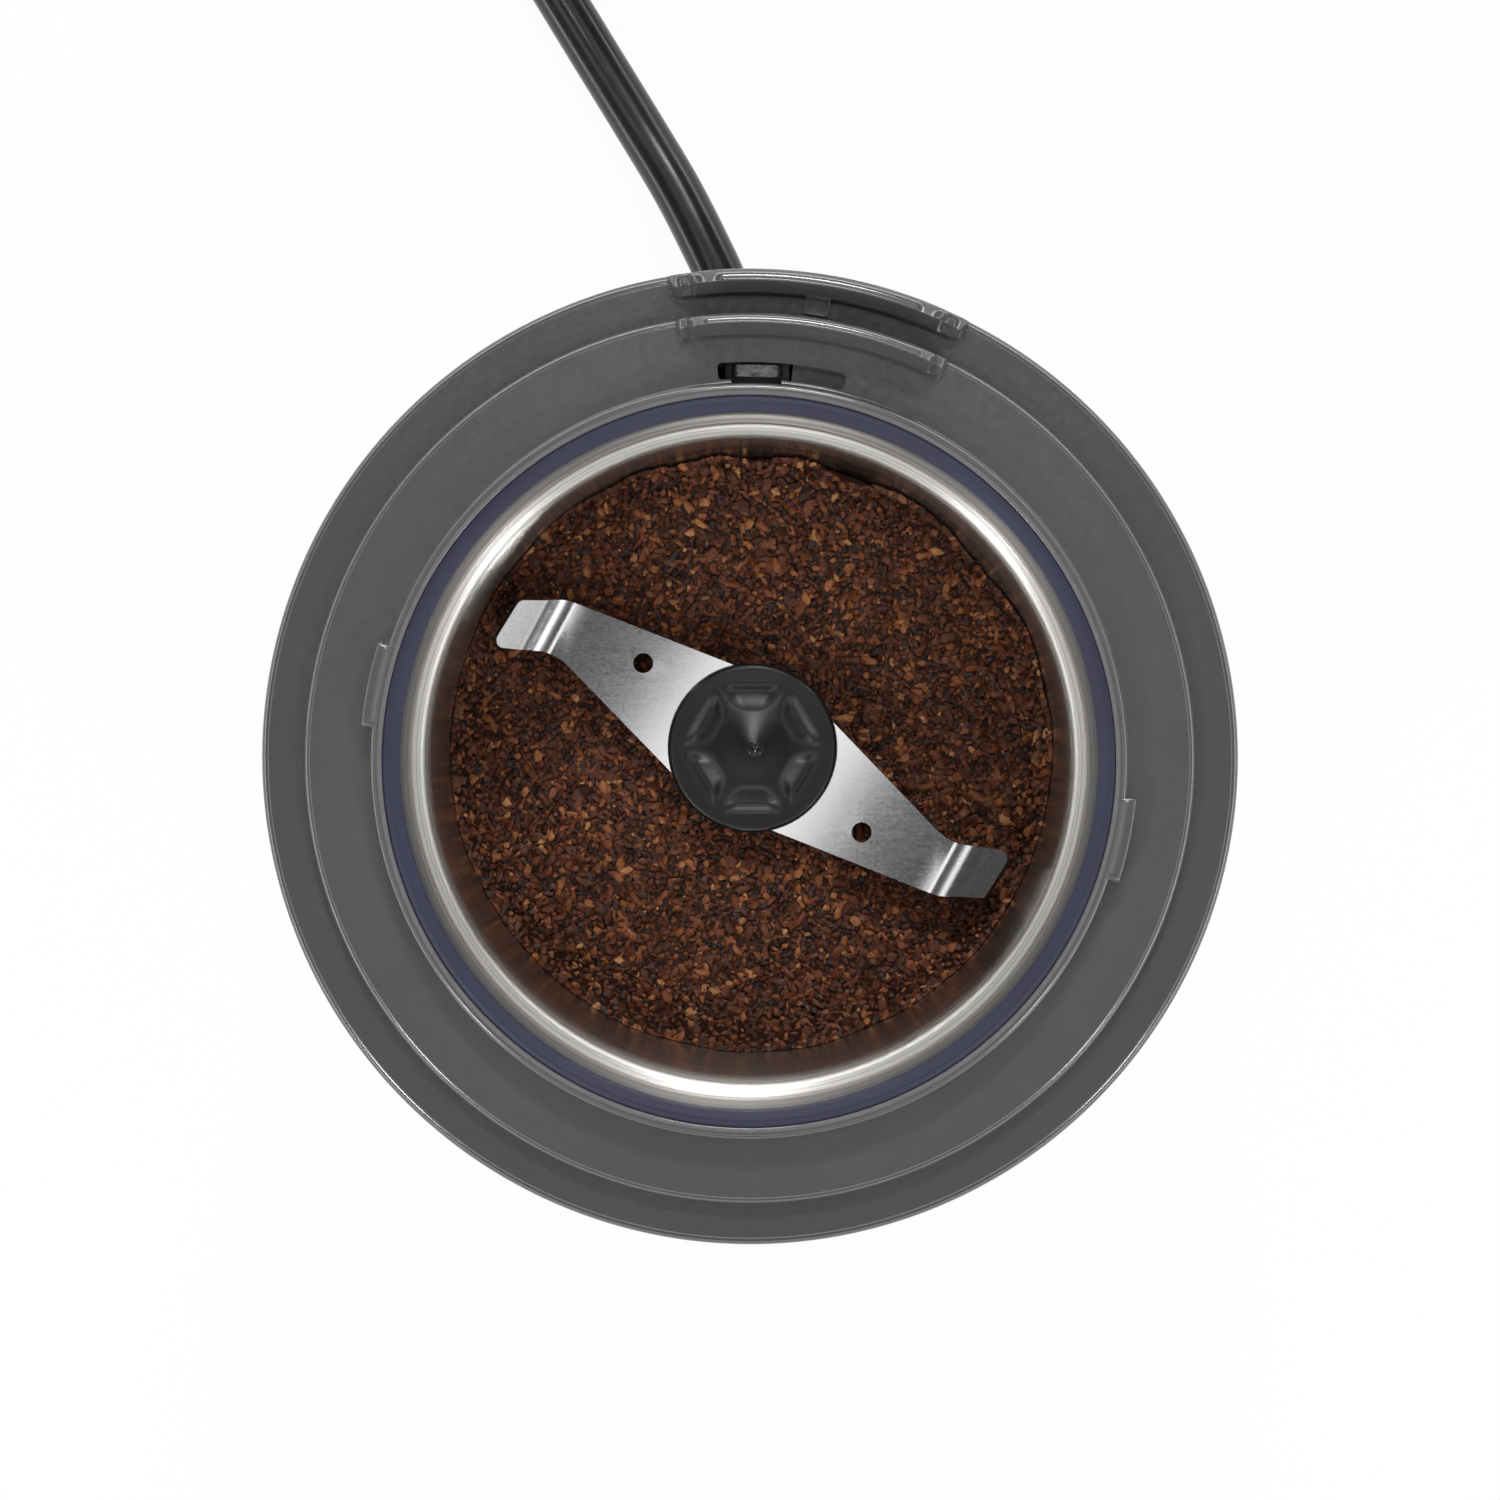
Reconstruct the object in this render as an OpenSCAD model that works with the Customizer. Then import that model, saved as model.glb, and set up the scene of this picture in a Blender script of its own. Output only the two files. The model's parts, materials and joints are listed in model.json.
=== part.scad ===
// Electric spice grinder: a steel bowl fixed in a round housing, with a blade that a
// mains motor spins on one vertical shaft, and a lid-safety plunger over a switch.
// Z is up and Y points to the back, where the lead leaves. The origin is on the table
// under the motor's axis. All sizes are in millimetres.

/* [Bowl] */
// Inner radius of the bowl's mouth
bowl_mouth_r = 33.7; // [30:0.1:42]
// How much narrower the bowl is above its rounded bottom corner
bowl_draft = 1.5; // [0.5:0.1:3]
// Depth of the bowl from its rim to its floor
bowl_depth = 38; // [34:0.5:48]
// Thickness of the bowl's sheet steel
bowl_sheet = 0.7; // [0.5:0.1:1]
// Width of the flat rim that the seal lies on
rim_w = 2.8; // [2.4:0.1:3.5]

/* [Top] */
// Width of the outer ledge
ledge_w = 4.6; // [3.5:0.1:7]
// Width of the middle deck
deck_w = 7.2; // [6.8:0.1:10]
// Rise from the outer ledge to the middle deck
deck_step = 2; // [1.5:0.1:3]
// Rise from the middle deck to the collar's top
collar_h = 3.5; // [3:0.1:5]
// Thickness of the collar's wall
collar_wall = 1.2; // [1:0.1:2]
// Height of the outer lip above the outer ledge
outer_lip_h = 6; // [3:0.1:8]
// Height of the inner lip above the middle deck
inner_lip_h = 4.6; // [3:0.1:8]
// How far the two lid lugs stand out of the collar
lug_out = 1.1; // [0.6:0.1:1.6]

/* [Housing] */
// Wall thickness of the plastic housing
wall = 2.2; // [1.8:0.1:2.8]
// How much narrower the housing is at its foot
body_taper = 5; // [2:0.5:6]
// Gap between the table and the housing's lower edge
foot_gap = 2.4; // [2:0.1:4]
// Room between the base's plate and the motor shaft's lower end
shaft_room = 1.9; // [1.2:0.1:30]

/* [Blade] */
// Distance from the axis to the blade's tip
blade_reach = 29.4; // [26:0.1:30]
// Thickness of the blade
blade_t = 1.5; // [1:0.1:2]
// Angle that the blade's tips are bent up
tip_angle = 42; // [20:1:50]
// Radius of the hub nut
nut_r = 9.15; // [8.5:0.05:11]
// Height of the blade's underside above the bowl's floor
blade_lift = 9.9; // [8:0.1:12]

/* [Motor] */
// Radius of the motor's shaft
shaft_r = 3; // [2.5:0.1:4]
// Radius of the armature
armature_r = 15.6; // [13:0.1:18]
// Height of the steel core
stack_h = 20; // [16:1:26]
// Air gap between the armature and the stator
air_gap = 0.6; // [0.4:0.1:1]
// Gap between the cooling fan and the posts beside it
fan_room = 1.45; // [0.8:0.05:4]

/* [Switch] */
// How far the safety plunger travels
plunger_travel = 2; // [1:0.1:3]
// Width of the plunger along the slot
plunger_w = 5.3; // [4:0.1:6]

/* [Lead] */
// Diameter of the mains lead
cord_d = 6; // [5:0.1:8]

/* [Hidden] */

$fn = 96;
cut = 1; // how far a cutting shape runs past the face that it cuts
fit_gap = 0.05; // radial gap of a pressed or screwed fit
run_gap = 0.05; // radial gap of a running fit
part_gap = 0.15; // gap between two mouldings that meet

// Radii from the bowl outwards
rim_in_r = bowl_mouth_r + 1.35;
rim_out_r = rim_in_r + rim_w;
collar_in_r = rim_out_r + part_gap;
collar_out_r = collar_in_r + collar_wall;
deck_r = collar_out_r + deck_w;
ledge_r = deck_r + ledge_w;
foot_r = ledge_r - body_taper;
bowl_low_r = bowl_mouth_r - bowl_draft;

// Heights of the motor's parts, from the base up to the bowl
base_t = 2.1; // thickness of the base's plate
tail_l = 3.5; // length of shaft below the lower bracket
lower_t = 3; // thickness of the lower bracket
lower_gap = 3.5; // between the lower bracket and the commutator
commutator_h = 10.5;
winding_gap = 1; // between the end windings and their neighbours
winding_h = 6; // height of the end windings past the core
fan_h = 5;
boss_l = 5; // the bearing boss hangs this far below the upper bracket's plate
bracket_t = 3;
gasket_t = 2;
shaft_end_z = foot_gap + base_t + shaft_room;
lower_z = shaft_end_z + tail_l; // underside of the lower bracket's plate
commutator_z = lower_z + lower_t + lower_gap;
stack_z = commutator_z + commutator_h + winding_gap + winding_h; // underside of the core
fan_z = stack_z + stack_h + winding_h + winding_gap;
bracket_z = fan_z + fan_h + 1 + boss_l; // underside of the upper bracket's plate
gasket_z = bracket_z + bracket_t; // underside of the gasket

// Heights of the bowl and the top
floor_z = gasket_z + gasket_t + bowl_sheet; // top of the bowl's floor
rim_z = floor_z + bowl_depth;
rim_drop = 1.9; // the rim's top lies this far below the collar's top
collar_z = rim_z + rim_drop;
deck_z = collar_z - collar_h;
ledge_z = deck_z - deck_step;
seat_z = ledge_z - 1.6; // what the deck's skirt stands on
seat_w = 2.4; // width of that seat
skirt_t = 1.6; // thickness of the deck's skirt
shelf_z = rim_z - bowl_sheet; // top of the shelf under the bowl's rim
shelf_t = 2.4;
deck_under_z = deck_z - wall;

// Back of the top: both lips are centred on this direction
lip_angle = 81.5;
outer_lip = [36.3, 22.8, 2.45, 1.15]; // whole span, full-height span (degrees), width, crest inset
inner_lip = [36.1, 27.8, 2.35, 0.9];
lip_rib = [2.7, 0.8]; // width and height of the rib between the lips

// Lid lugs: start angle and span of each on the collar
lug_starts = [162, 342];
lug_span = 12.7;
lug_h = 1.9;

// Safety slot in the deck and the plunger in it
slot_from = 75.8; // degrees
slot_to = 94.6;
slot_in_r = collar_out_r + 0.45;
slot_w = 1.75;
slot_round = 0.45; // radius of the slot's corners
plunger_angle = 88.9;
plunger_t = 1.3;
plunger_r = slot_in_r + slot_w - 0.25 - plunger_t / 2; // distance of the plunger from the axis
plunger_notch = 0.42; // how much wider the slot is at the plunger
plunger_half = asin(plunger_w / 2 / slot_in_r); // half the angle that the plunger takes in the slot
plunger_low = 0.7; // the plunger's top lies this far under the deck
shoulder_z = deck_under_z - 0.2; // top of the shoulder that stops under the deck
shoulder_h = 2;
rod_r = 1.5;
rod_l = 11.2; // length of the rod below the shoulder
rod_end_z = shoulder_z - shoulder_h - rod_l;
button_gap = 0.2; // between the rod's end and the button
button_up = 2.7; // how far the button stands out of the switch
switch_h = 9.5;
switch_z = rod_end_z - button_gap - button_up - switch_h; // underside of the switch
terminal_h = 6;
terminal_z = switch_z - terminal_h + 0.6; // where the wires meet the terminals

// Housing side: the radius grows towards the ledge along a parabola
side_steps = 14;
function side_r(z) = foot_r + body_taper * (1 - pow((ledge_z - z) / (ledge_z - foot_gap), 2));

// Legs that hang from the deck and carry the motor
leg_angles = [30, 150, 270];
leg_out_r = 3;
leg_ring_r = bowl_mouth_r + bowl_sheet + 6.2;
leg_screw_r = 1.5;

// Motor
damper_h = 5;
leg_z = bracket_z + bracket_t / 2 + damper_h / 2; // lower end of the legs
commutator_r = 9.2;
bearing_h = 7;
bearing_r = shaft_r + 2.5;

// Stator and its coils
stator_r = armature_r + air_gap + 10.8;
stator_flat = stator_r - 2; // half the width across the stator's flats
coil_in_r = armature_r + air_gap + 2.3;
coil_out_r = coil_in_r + 3.7;
window_gap = 0.3; // room between a coil and the stator's window
pole_half = 30; // degrees, half the pole's neck
shoe_half = 68; // degrees, half the pole's shoe
bolt_angles = [45, 225];
bolt_ring_r = (coil_out_r + window_gap + stator_r) / 2;
bolt_r = 1.6;
post_r = 2.3;
fan_r = bolt_ring_r - post_r - fan_room; // radius of the cooling fan

// Shaft stack at the bowl
seal_neck_r = shaft_r + 2.2; // radius of the hole in the bowl's floor
blade_z = floor_z + blade_lift;
spacer_h = 2.5;
spacer_r = shaft_r + 2;
thread_r = shaft_r - 0.5;
nut_edge_h = 1.4;
nut_dome_h = 1.4;
nut_scoop_r = 1.9; // radius of the six finger scoops
nut_scoop_at = nut_r - 3.9; // distance of a scoop's axis from the nut's axis
nut_scoop_up = 1.04; // height of that axis above the nut's rim

// Blade outline: one arm's corners and their rounding, the other arm is turned half round
blade_arm = [
    [5.7, 5.9, 0], [-20.5, 16.2, 8], [-25.5, 16.35, 0.7], [-28.6, 11.35, 0.7], [-21.2, 10.2, 6.5]
];
blade_hole = [-11.8, 9.15];
blade_hole_r = 1.08;
bend_dir = 151.5; // degrees, across the bend lines and outwards
bend_at = 26.2; // distance of the bend's middle from the axis
bend_r = 5.6; // radius of the bend on its outer side

// Base
base_r = foot_r - wall - 0.2;
base_rim_h = 3.4;
base_rim_t = 1.8;
base_boss_angles = [0, 180, 270];
base_boss_r = foot_r - wall - 4.8;
boss_out_r = 3.6;
boss_z = foot_gap + base_t + base_rim_h + 0.2; // lower end of the housing's screw bosses
boss_top_z = boss_z + 22;
base_screw_r = 1.5;
foot_angles = [45, 135, 225, 315];
foot_ring_r = base_r - 9.5;
foot_pad_r = 5;
foot_recess = 0.6;
foot_stem_r = 2;

// Lead: it leaves the back of the housing through the strain relief
cord_r = cord_d / 2;
cord_sides = 10;
exit_angle = 94.5;
exit_z = cord_r + 5.6;
exit_reach = side_r(exit_z) + 1.5; // distance of the strain relief's outer end from the axis
relief_l = 22;
relief_hole_r = cord_r + 1.3;
clamp_at = exit_reach - relief_l - 5; // distance of the clamp from the axis
// Each point is measured from the relief's outer end and up to the lead's underside
exit_at = [each polar(exit_reach, exit_angle), cord_r];
cord_route = [for (p = [
    [0, 0, 5.6], [-0.4, 3.7, 5.4], [-2, 8.5, 4.7], [-5.6, 15.3, 3.2], [-10.1, 22.8, 1.5],
    [-16.3, 32.7, 0.2], [-22.2, 42.2, 0], [-28.7, 52.4, 0], [-34.2, 61.2, 0.2], [-38.7, 68.7, 0.4]
]) exit_at + p];
coil_at = exit_at + [0.1, 93.2, 0.4];
coil_outer_r = 46; // centre line of the outermost turn
coil_inner_r = 25.6; // centre line of the innermost turn
plug_half_h = 7; // half the plug's thickness
// The tail leaves the innermost turn and climbs by these shares until the plug lies on the coil
tail_route = [for (p = [
    [-23.6, 102.8, 0], [-20.2, 109.1, 0.1], [-15.3, 114.4, 0.32], [-9.1, 118.6, 0.6],
    [-1.9, 121.5, 0.86], [5.2, 122.3, 0.98], [11.7, 121.7, 1]
]) exit_at + [p[0], p[1], 0.4 + p[2] * (cord_r + plug_half_h)]];
wire_r = 1.1;
lead_end = [each polar(clamp_at - 6, exit_angle), exit_z]; // inner end of the lead
terminal_r = plunger_r; // distance of the switch's terminals from the axis
terminal_x = 7.5; // distance between the terminals
live_at = [each polar(terminal_r, plunger_angle) + polar(terminal_x, plunger_angle + 90), terminal_z];
back_at = [each polar(terminal_r, plunger_angle), terminal_z];
coil_top_at = [5, coil_out_r - 1, stack_z + stack_h + 3.1];
coil_low_at = [7, coil_out_r - 2.9, stack_z - winding_h + 0.4];
wires = [
    // from the lead up to the switch
    concat(
        [for (p = [
            [-1.5, 1, 0], [-1.7, -1.2, 0.6], [-2.4, -2, 3.6], [-3.8, 0, 7.4], [-6.8, 6.5, 10.9],
            [-9.3, 13, 17.4], [-9.8, 15, 27.4], [-9.8, 15.5, 41.4]
        ]) lead_end + p],
        [for (p = [[-3.6, -9.1, -17.6], [-2.3, -5.1, -7.6], [-0.3, -0.2, 0]]) live_at + p]
    ),
    // from the switch down to the back field coil
    concat(
        [for (p = [[0, 0.1, 0], [1, -2, -5.6], [2.8, -8, -13.6]]) back_at + p],
        [for (p = [[0, 5.8, 3], [0, 0, 0]]) coil_top_at + p]
    ),
    // from the lead to the back field coil
    concat(
        [for (p = [[1.5, 1, 0], [1.7, -1.4, 0.7], [2.4, -1.8, 4.4], [4.2, 0, 9.9]]) lead_end + p],
        [for (p = [[-1.2, -1.5, -4.3], [0, 0, 0]]) coil_low_at + p]
    )
];
plug_at = tail_route[len(tail_route) - 1];
plug_neck = cord_r + 1.2; // half the plug's width where the lead enters it
clamp_screw_x = [-cord_r - 4, cord_r + 4];
plug_angle = -10;
plug_l = 25;
tie_w = 6;
tie_t = 0.4;
tie_angle = -30;

// ---- Geometry helpers ----

function polar(r, a) = [r * cos(a), r * sin(a)];
function unit(v) = v / norm(v);
function flat(p) = [p[0], p[1]];

// Points of the round corner of radius r at b, between a and c
function corner(a, b, c, r, steps) =
    let (u = unit(a - b), v = unit(c - b), half = acos(u * v) / 2)
    let (middle = b + unit(u + v) * r / sin(half))
    let (p = b + u * r / tan(half) - middle, q = b + v * r / tan(half) - middle)
    let (from = atan2(p[1], p[0]), turn = atan2(p[0] * q[1] - p[1] * q[0], p * q))
    [for (i = [0:steps]) middle + polar(r, from + turn * i / steps)];

// A closed outline of [x, y, radius] corners, with its corners rounded
function rounded(path, steps = 6) =
    let (n = len(path))
    [for (i = [0:n - 1]) each path[i][2] == 0 ? [flat(path[i])]
        : corner(flat(path[(i + n - 1) % n]), flat(path[i]), flat(path[(i + 1) % n]), path[i][2], steps)];

// An open line of [x, y, radius] corners, with its corners rounded
function rounded_line(path, steps = 6) =
    [for (i = [0:len(path) - 1]) each path[i][2] == 0 ? [flat(path[i])]
        : corner(flat(path[i - 1]), flat(path[i]), flat(path[i + 1]), path[i][2], steps)];

// The line's points moved sideways by d
function beside(line, d) =
    let (n = len(line))
    [for (i = [0:n - 1])
        let (way = unit(line[min(i + 1, n - 1)] - line[max(i - 1, 0)]))
        line[i] + d * [-way[1], way[0]]];

// Outline of a sheet of thickness t that follows the line, on its left side
function sheet(line, t) =
    let (other = beside(line, t), n = len(line))
    concat(line, [for (i = [0:n - 1]) other[n - 1 - i]]);

// A flat ring: its two radii and its two heights
module ring(r_in, r_out, z0, z1) {
    translate([0, 0, z0])
        difference() {
            cylinder(r = r_out, h = z1 - z0);
            translate([0, 0, -cut]) cylinder(r = r_in, h = z1 - z0 + 2 * cut);
        }
}

// A part of a ring between two angles
module arc_block(r_in, r_out, z0, z1, from, to) {
    rotate([0, 0, from])
        rotate_extrude(angle = to - from)
            translate([r_in, z0]) square([r_out - r_in, z1 - z0]);
}

// A round tube along the route: each ring stands across the line between its neighbours.
// The route never runs along the level direction.
module tube(route, r, sides, level = [0, 0, 1]) {
    n = len(route);
    rings = [for (i = [0:n - 1])
        let (way = unit(route[min(i + 1, n - 1)] - route[max(i - 1, 0)]))
        let (side = unit(cross(level, way)), up = cross(way, side))
        each [for (k = [0:sides - 1])
            route[i] + r * (side * cos(360 * k / sides) + up * sin(360 * k / sides))]];
    caps = [[for (k = [0:sides - 1]) k], [for (k = [0:sides - 1]) n * sides - 1 - k]];
    walls = [for (i = [0:n - 2]) each [for (k = [0:sides - 1])
        let (a = i * sides + k, b = i * sides + (k + 1) % sides)
        each [[a, a + sides, b], [b, a + sides, b + sides]]]];
    polyhedron(concat(rings), concat(caps, walls));
}

// ---- Housing and top ----

// Cross-section of a lip: upright outside, round shoulder, narrow crest, leaning inside
module lip_section(out_r, z0, h, w, inset) {
    polygon(rounded([
        [out_r, z0 - wall / 2, 0], [out_r, z0 + h, inset * 0.9], [out_r - inset - 0.05, z0 + h, 0.15],
        [out_r - w + 0.1, z0 + h * 0.6, 0.4], [out_r - w, z0, 0], [out_r - w, z0 - wall / 2, 0]
    ], 4));
}

// How much of its height a lip has at the part p of its ramp: a round nose, then a soft second step
lip_nose = 0.42;
function lip_level(p) = p < lip_nose ? lip_nose * sqrt(1 - pow(1 - p / lip_nose, 2))
    : lip_nose + (1 - lip_nose) * (1 - cos(180 * (p - lip_nose) / (1 - lip_nose))) / 2;

// Side outline of a lip seen from the axis
module lip_side(r, z0, h, spans) {
    half = r * sin(spans[0] / 2);
    full = r * sin(spans[1] / 2);
    steps = 14;
    ramp = [for (i = [0:steps]) [half - (half - full) * i / steps, z0 + (h + 0.1) * lip_level(i / steps)]];
    polygon(concat(
        [[-half - 0.01, z0 - wall], [half + 0.01, z0 - wall]],
        ramp,
        [for (i = [0:steps]) [-ramp[steps - i][0], ramp[steps - i][1]]]
    ));
}

module lip(out_r, z0, h, spec) {
    rotate([0, 0, lip_angle - 90])
        intersection() {
            rotate([0, 0, 90 - spec[0] / 2])
                rotate_extrude(angle = spec[0]) lip_section(out_r, z0, h, spec[2], spec[3]);
            translate([0, out_r + cut, 0])
                rotate([90, 0, 0])
                    linear_extrude(out_r) lip_side(out_r, z0, h, spec);
        }
}

module housing_shell() {
    edge = 0.9;
    low = foot_gap + edge;
    high = ledge_z - edge;
    heights = [for (i = [0:side_steps]) low + (high - low) * i / side_steps];
    outer = [for (z = heights) [side_r(z), z]];
    inner = [for (i = [0:side_steps]) [side_r(heights[side_steps - i]) - wall, heights[side_steps - i]]];
    under = seat_z - wall;
    rotate_extrude()
        polygon(concat(
            [[foot_r - wall, foot_gap], [side_r(foot_gap) - edge, foot_gap]],
            outer,
            [for (i = [1:5]) [ledge_r - edge, high] + polar(edge, 18 * i)],
            [[deck_r + part_gap, ledge_z], [deck_r + part_gap, seat_z], [deck_r - seat_w, seat_z]],
            [[deck_r - seat_w, under], [side_r(under) - wall, under]],
            [for (p = inner) if (p[1] < under) p]
        ));
}

module base_boss() {
    difference() {
        union() {
            translate([base_boss_r, 0, boss_z]) cylinder(r = boss_out_r, h = boss_top_z - boss_z);
            translate([base_boss_r, -1, boss_z])
                cube([side_r(boss_z) - wall / 2 - base_boss_r, 2, boss_top_z - boss_z]);
        }
        translate([base_boss_r, 0, boss_z - cut]) cylinder(r = base_screw_r + fit_gap, h = 17);
    }
}

module housing() color("dimgray") {
    difference() {
        housing_shell();
        relief_axis() cylinder(r = relief_hole_r, h = exit_reach);
    }
    for (a = base_boss_angles) rotate([0, 0, a]) base_boss();
    lip(ledge_r, ledge_z, outer_lip_h, outer_lip);
    rotate([0, 0, lip_angle])
        translate([deck_r + part_gap, -lip_rib[0] / 2, ledge_z - 0.5])
            cube([ledge_w - outer_lip[2] - part_gap + 0.3, lip_rib[0], lip_rib[1] + 0.5]);
}

module deck_profile() {
    edge = 0.6;
    polygon(rounded([
        [rim_in_r + 0.9, shelf_z - shelf_t, 0], [rim_in_r + 0.9, shelf_z, 0], [collar_in_r, shelf_z, 0],
        [collar_in_r, collar_z, 0.2], [collar_out_r, collar_z, edge], [collar_out_r, deck_z, 0.25],
        [deck_r, deck_z, 0.8], [deck_r, seat_z, 0], [deck_r - skirt_t, seat_z, 0],
        [deck_r - skirt_t, deck_under_z, 0], [collar_out_r, deck_under_z, 0],
        [collar_out_r, shelf_z - shelf_t, 0]
    ], 5));
}

module lug(from) {
    top = collar_z;
    arc_block(collar_out_r - 0.4, collar_out_r + lug_out, top - lug_h, top - 0.25, from, from + lug_span);
    arc_block(collar_out_r - 0.4, collar_out_r + lug_out - 0.25, top - lug_h, top,
        from + 0.3, from + lug_span - 0.3);
    // stop at the lug's leading end
    arc_block(collar_out_r - 0.4, collar_out_r + lug_out, deck_z - 0.3, top, from, from + 1.1);
}

module deck_leg() {
    difference() {
        union() {
            translate([leg_ring_r, 0, leg_z]) cylinder(r = leg_out_r, h = deck_under_z + 0.4 - leg_z);
            translate([leg_ring_r - 0.8, -6, deck_under_z - 14]) cube([1.6, 12, 14.4]);
        }
        translate([leg_ring_r, 0, leg_z - cut]) cylinder(r = leg_screw_r + fit_gap, h = 13);
    }
}

// The slot in the deck: a part of a ring with round corners
module slot_cut(z0, z1) {
    steps = 14;
    angles = [for (i = [0:steps]) slot_from + (slot_to - slot_from) * i / steps];
    inner = [for (i = [0:steps]) [each polar(slot_in_r, angles[i]), i % steps == 0 ? slot_round : 0]];
    outer = [for (i = [0:steps])
        [each polar(slot_in_r + slot_w, angles[steps - i]), i % steps == 0 ? slot_round : 0]];
    translate([0, 0, z0]) linear_extrude(z1 - z0) polygon(rounded(concat(inner, outer), 5));
}

// Places what hangs under the slot: its Y axis points outwards through the plunger
module at_plunger() {
    rotate([0, 0, plunger_angle - 90]) children();
}

module top_deck() color("gray") {
    difference() {
        union() {
            rotate_extrude() deck_profile();
            for (from = lug_starts) lug(from);
            for (a = leg_angles) rotate([0, 0, a]) deck_leg();
            lip(deck_r, deck_z, inner_lip_h, inner_lip);
            at_plunger() for (x = bracket_screw_x)
                translate([x, bracket_screw_y, bracket_top_z])
                    cylinder(r = 2.3, h = deck_under_z + 0.4 - bracket_top_z);
        }
        slot_cut(deck_under_z - cut, deck_z + 0.8);
        arc_block(slot_in_r - plunger_notch, slot_in_r + slot_w / 2, deck_under_z - cut, deck_z + 0.8,
            plunger_angle - plunger_half, plunger_angle + plunger_half);
        at_plunger() for (x = bracket_screw_x)
            translate([x, bracket_screw_y, bracket_top_z - cut]) cylinder(r = 1.1 + fit_gap, h = 5);
    }
}

// ---- Bowl ----

// The bowl's inner face, from the rim's edge down to the hole for the shaft seal
bowl_line = rounded_line([
    [rim_out_r, rim_z, 0], [rim_in_r + 0.1, rim_z, 0], [rim_in_r - 0.1, rim_z - 0.45, 0],
    [bowl_mouth_r, rim_z - 0.5, 1], [bowl_mouth_r - 0.12, rim_z - 4, 0], [bowl_low_r, floor_z, 9],
    [seal_neck_r + 4.3, floor_z, 1.5], [seal_neck_r + 3.4, floor_z + 1.6, 1], [seal_neck_r, floor_z + 1.6, 0]
], 8);

module bowl() color("silver") {
    rotate_extrude() polygon(sheet(bowl_line, bowl_sheet));
}

module bowl_seal() color("darkslateblue") {
    in_r = rim_in_r + 1.25;
    out_r = collar_in_r - 0.05;
    rotate_extrude()
        polygon(rounded([
            [in_r, rim_z, 0], [out_r, rim_z, 0], [out_r, rim_z + 1.5, 0.7], [in_r, rim_z + 1.1, 0.7]
        ], 5));
}

// ---- Blade and nut ----

blade_outline = rounded(concat(
    blade_arm,
    [for (p = blade_arm) [-p[0], -p[1], p[2]]]
), 8);

// Side view of the blade's sheet across its bends, from the axis outwards
module blade_sheet(reach) {
    tip_rise = (reach + 4 - bend_at) * tan(tip_angle);
    line = rounded_line([[-1, 0, 0], [bend_at, 0, bend_r], [reach + 4, tip_rise, 0]], 8);
    polygon(sheet(line, blade_t));
}

module blade() color("lightgray") {
    translate([0, 0, blade_z])
        difference() {
            intersection() {
                union() for (side = [0, 180])
                    rotate([90, 0, bend_dir + side])
                        translate([0, 0, -20]) linear_extrude(40) blade_sheet(blade_reach);
                translate([0, 0, -cut]) linear_extrude(12) polygon(blade_outline);
                translate([0, 0, -cut]) cylinder(r = blade_reach + 1.4, h = 12);
            }
            for (side = [1, -1])
                translate([blade_hole[0] * side, blade_hole[1] * side, -cut])
                    cylinder(r = blade_hole_r, h = 4, $fn = 32);
            translate([0, 0, -cut]) cylinder(r = thread_r + fit_gap, h = 4, $fn = 48);
        }
}

module hub_nut() color("black") {
    z0 = blade_z + blade_t;
    rim_top = z0 + nut_edge_h;
    cap_r = nut_r - 2.6;
    ball_r = (cap_r * cap_r + nut_dome_h * nut_dome_h) / (2 * nut_dome_h);
    difference() {
        union() {
            rotate_extrude()
                polygon(rounded([[0, z0, 0], [nut_r - 0.3, z0, 0], [nut_r, rim_top, 0.5], [0, rim_top, 0]], 5));
            intersection() {
                translate([0, 0, rim_top + nut_dome_h - ball_r]) sphere(r = ball_r, $fn = 160);
                translate([0, 0, rim_top - 0.2]) cylinder(r = cap_r, h = nut_dome_h + 1);
            }
        }
        for (i = [0:5])
            rotate([0, 0, 30 + 60 * i])
                intersection() {
                    translate([nut_scoop_at, 0, rim_top + nut_scoop_up])
                        rotate([90, 0, 0])
                            translate([0, 0, -12]) cylinder(r = nut_scoop_r, h = 24, $fn = 64);
                    linear_extrude(2 * rim_top) polygon([[0, 0], polar(20, -29.4), polar(20, 29.4)]);
                }
        translate([0, 0, rim_top + nut_dome_h - 0.25]) cylinder(r = 0.5, h = 1, $fn = 24);
        translate([0, 0, z0 - cut]) cylinder(r = thread_r + fit_gap, h = 1.6 + cut, $fn = 48);
    }
}

module blade_spacer() color("goldenrod") {
    ring(thread_r + fit_gap, spacer_r, blade_z - spacer_h, blade_z);
}

module motor_shaft() color("silver") {
    shoulder = blade_z - spacer_h;
    translate([0, 0, shaft_end_z]) cylinder(r = shaft_r, h = shoulder - shaft_end_z);
    translate([0, 0, shoulder]) cylinder(r = thread_r, h = spacer_h + blade_t + 1.3);
}

module shaft_seal() color("black") {
    low = floor_z - bowl_sheet - 0.3;
    shoulder = floor_z + 1.6;
    rotate_extrude()
        polygon([
            [shaft_r + run_gap, low], [seal_neck_r - fit_gap, low], [seal_neck_r - fit_gap, shoulder + 0.05],
            [seal_neck_r + 2.8, shoulder + 0.05], [seal_neck_r + 2.4, shoulder + 1.6],
            [shaft_r + 1.6, shoulder + 3.4],
            [shaft_r + run_gap, shoulder + 3.4]
        ]);
}

// ---- Motor ----

module bowl_gasket() color("black") {
    ring(bearing_r + 1, 20, gasket_z, gasket_z + gasket_t);
}

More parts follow.
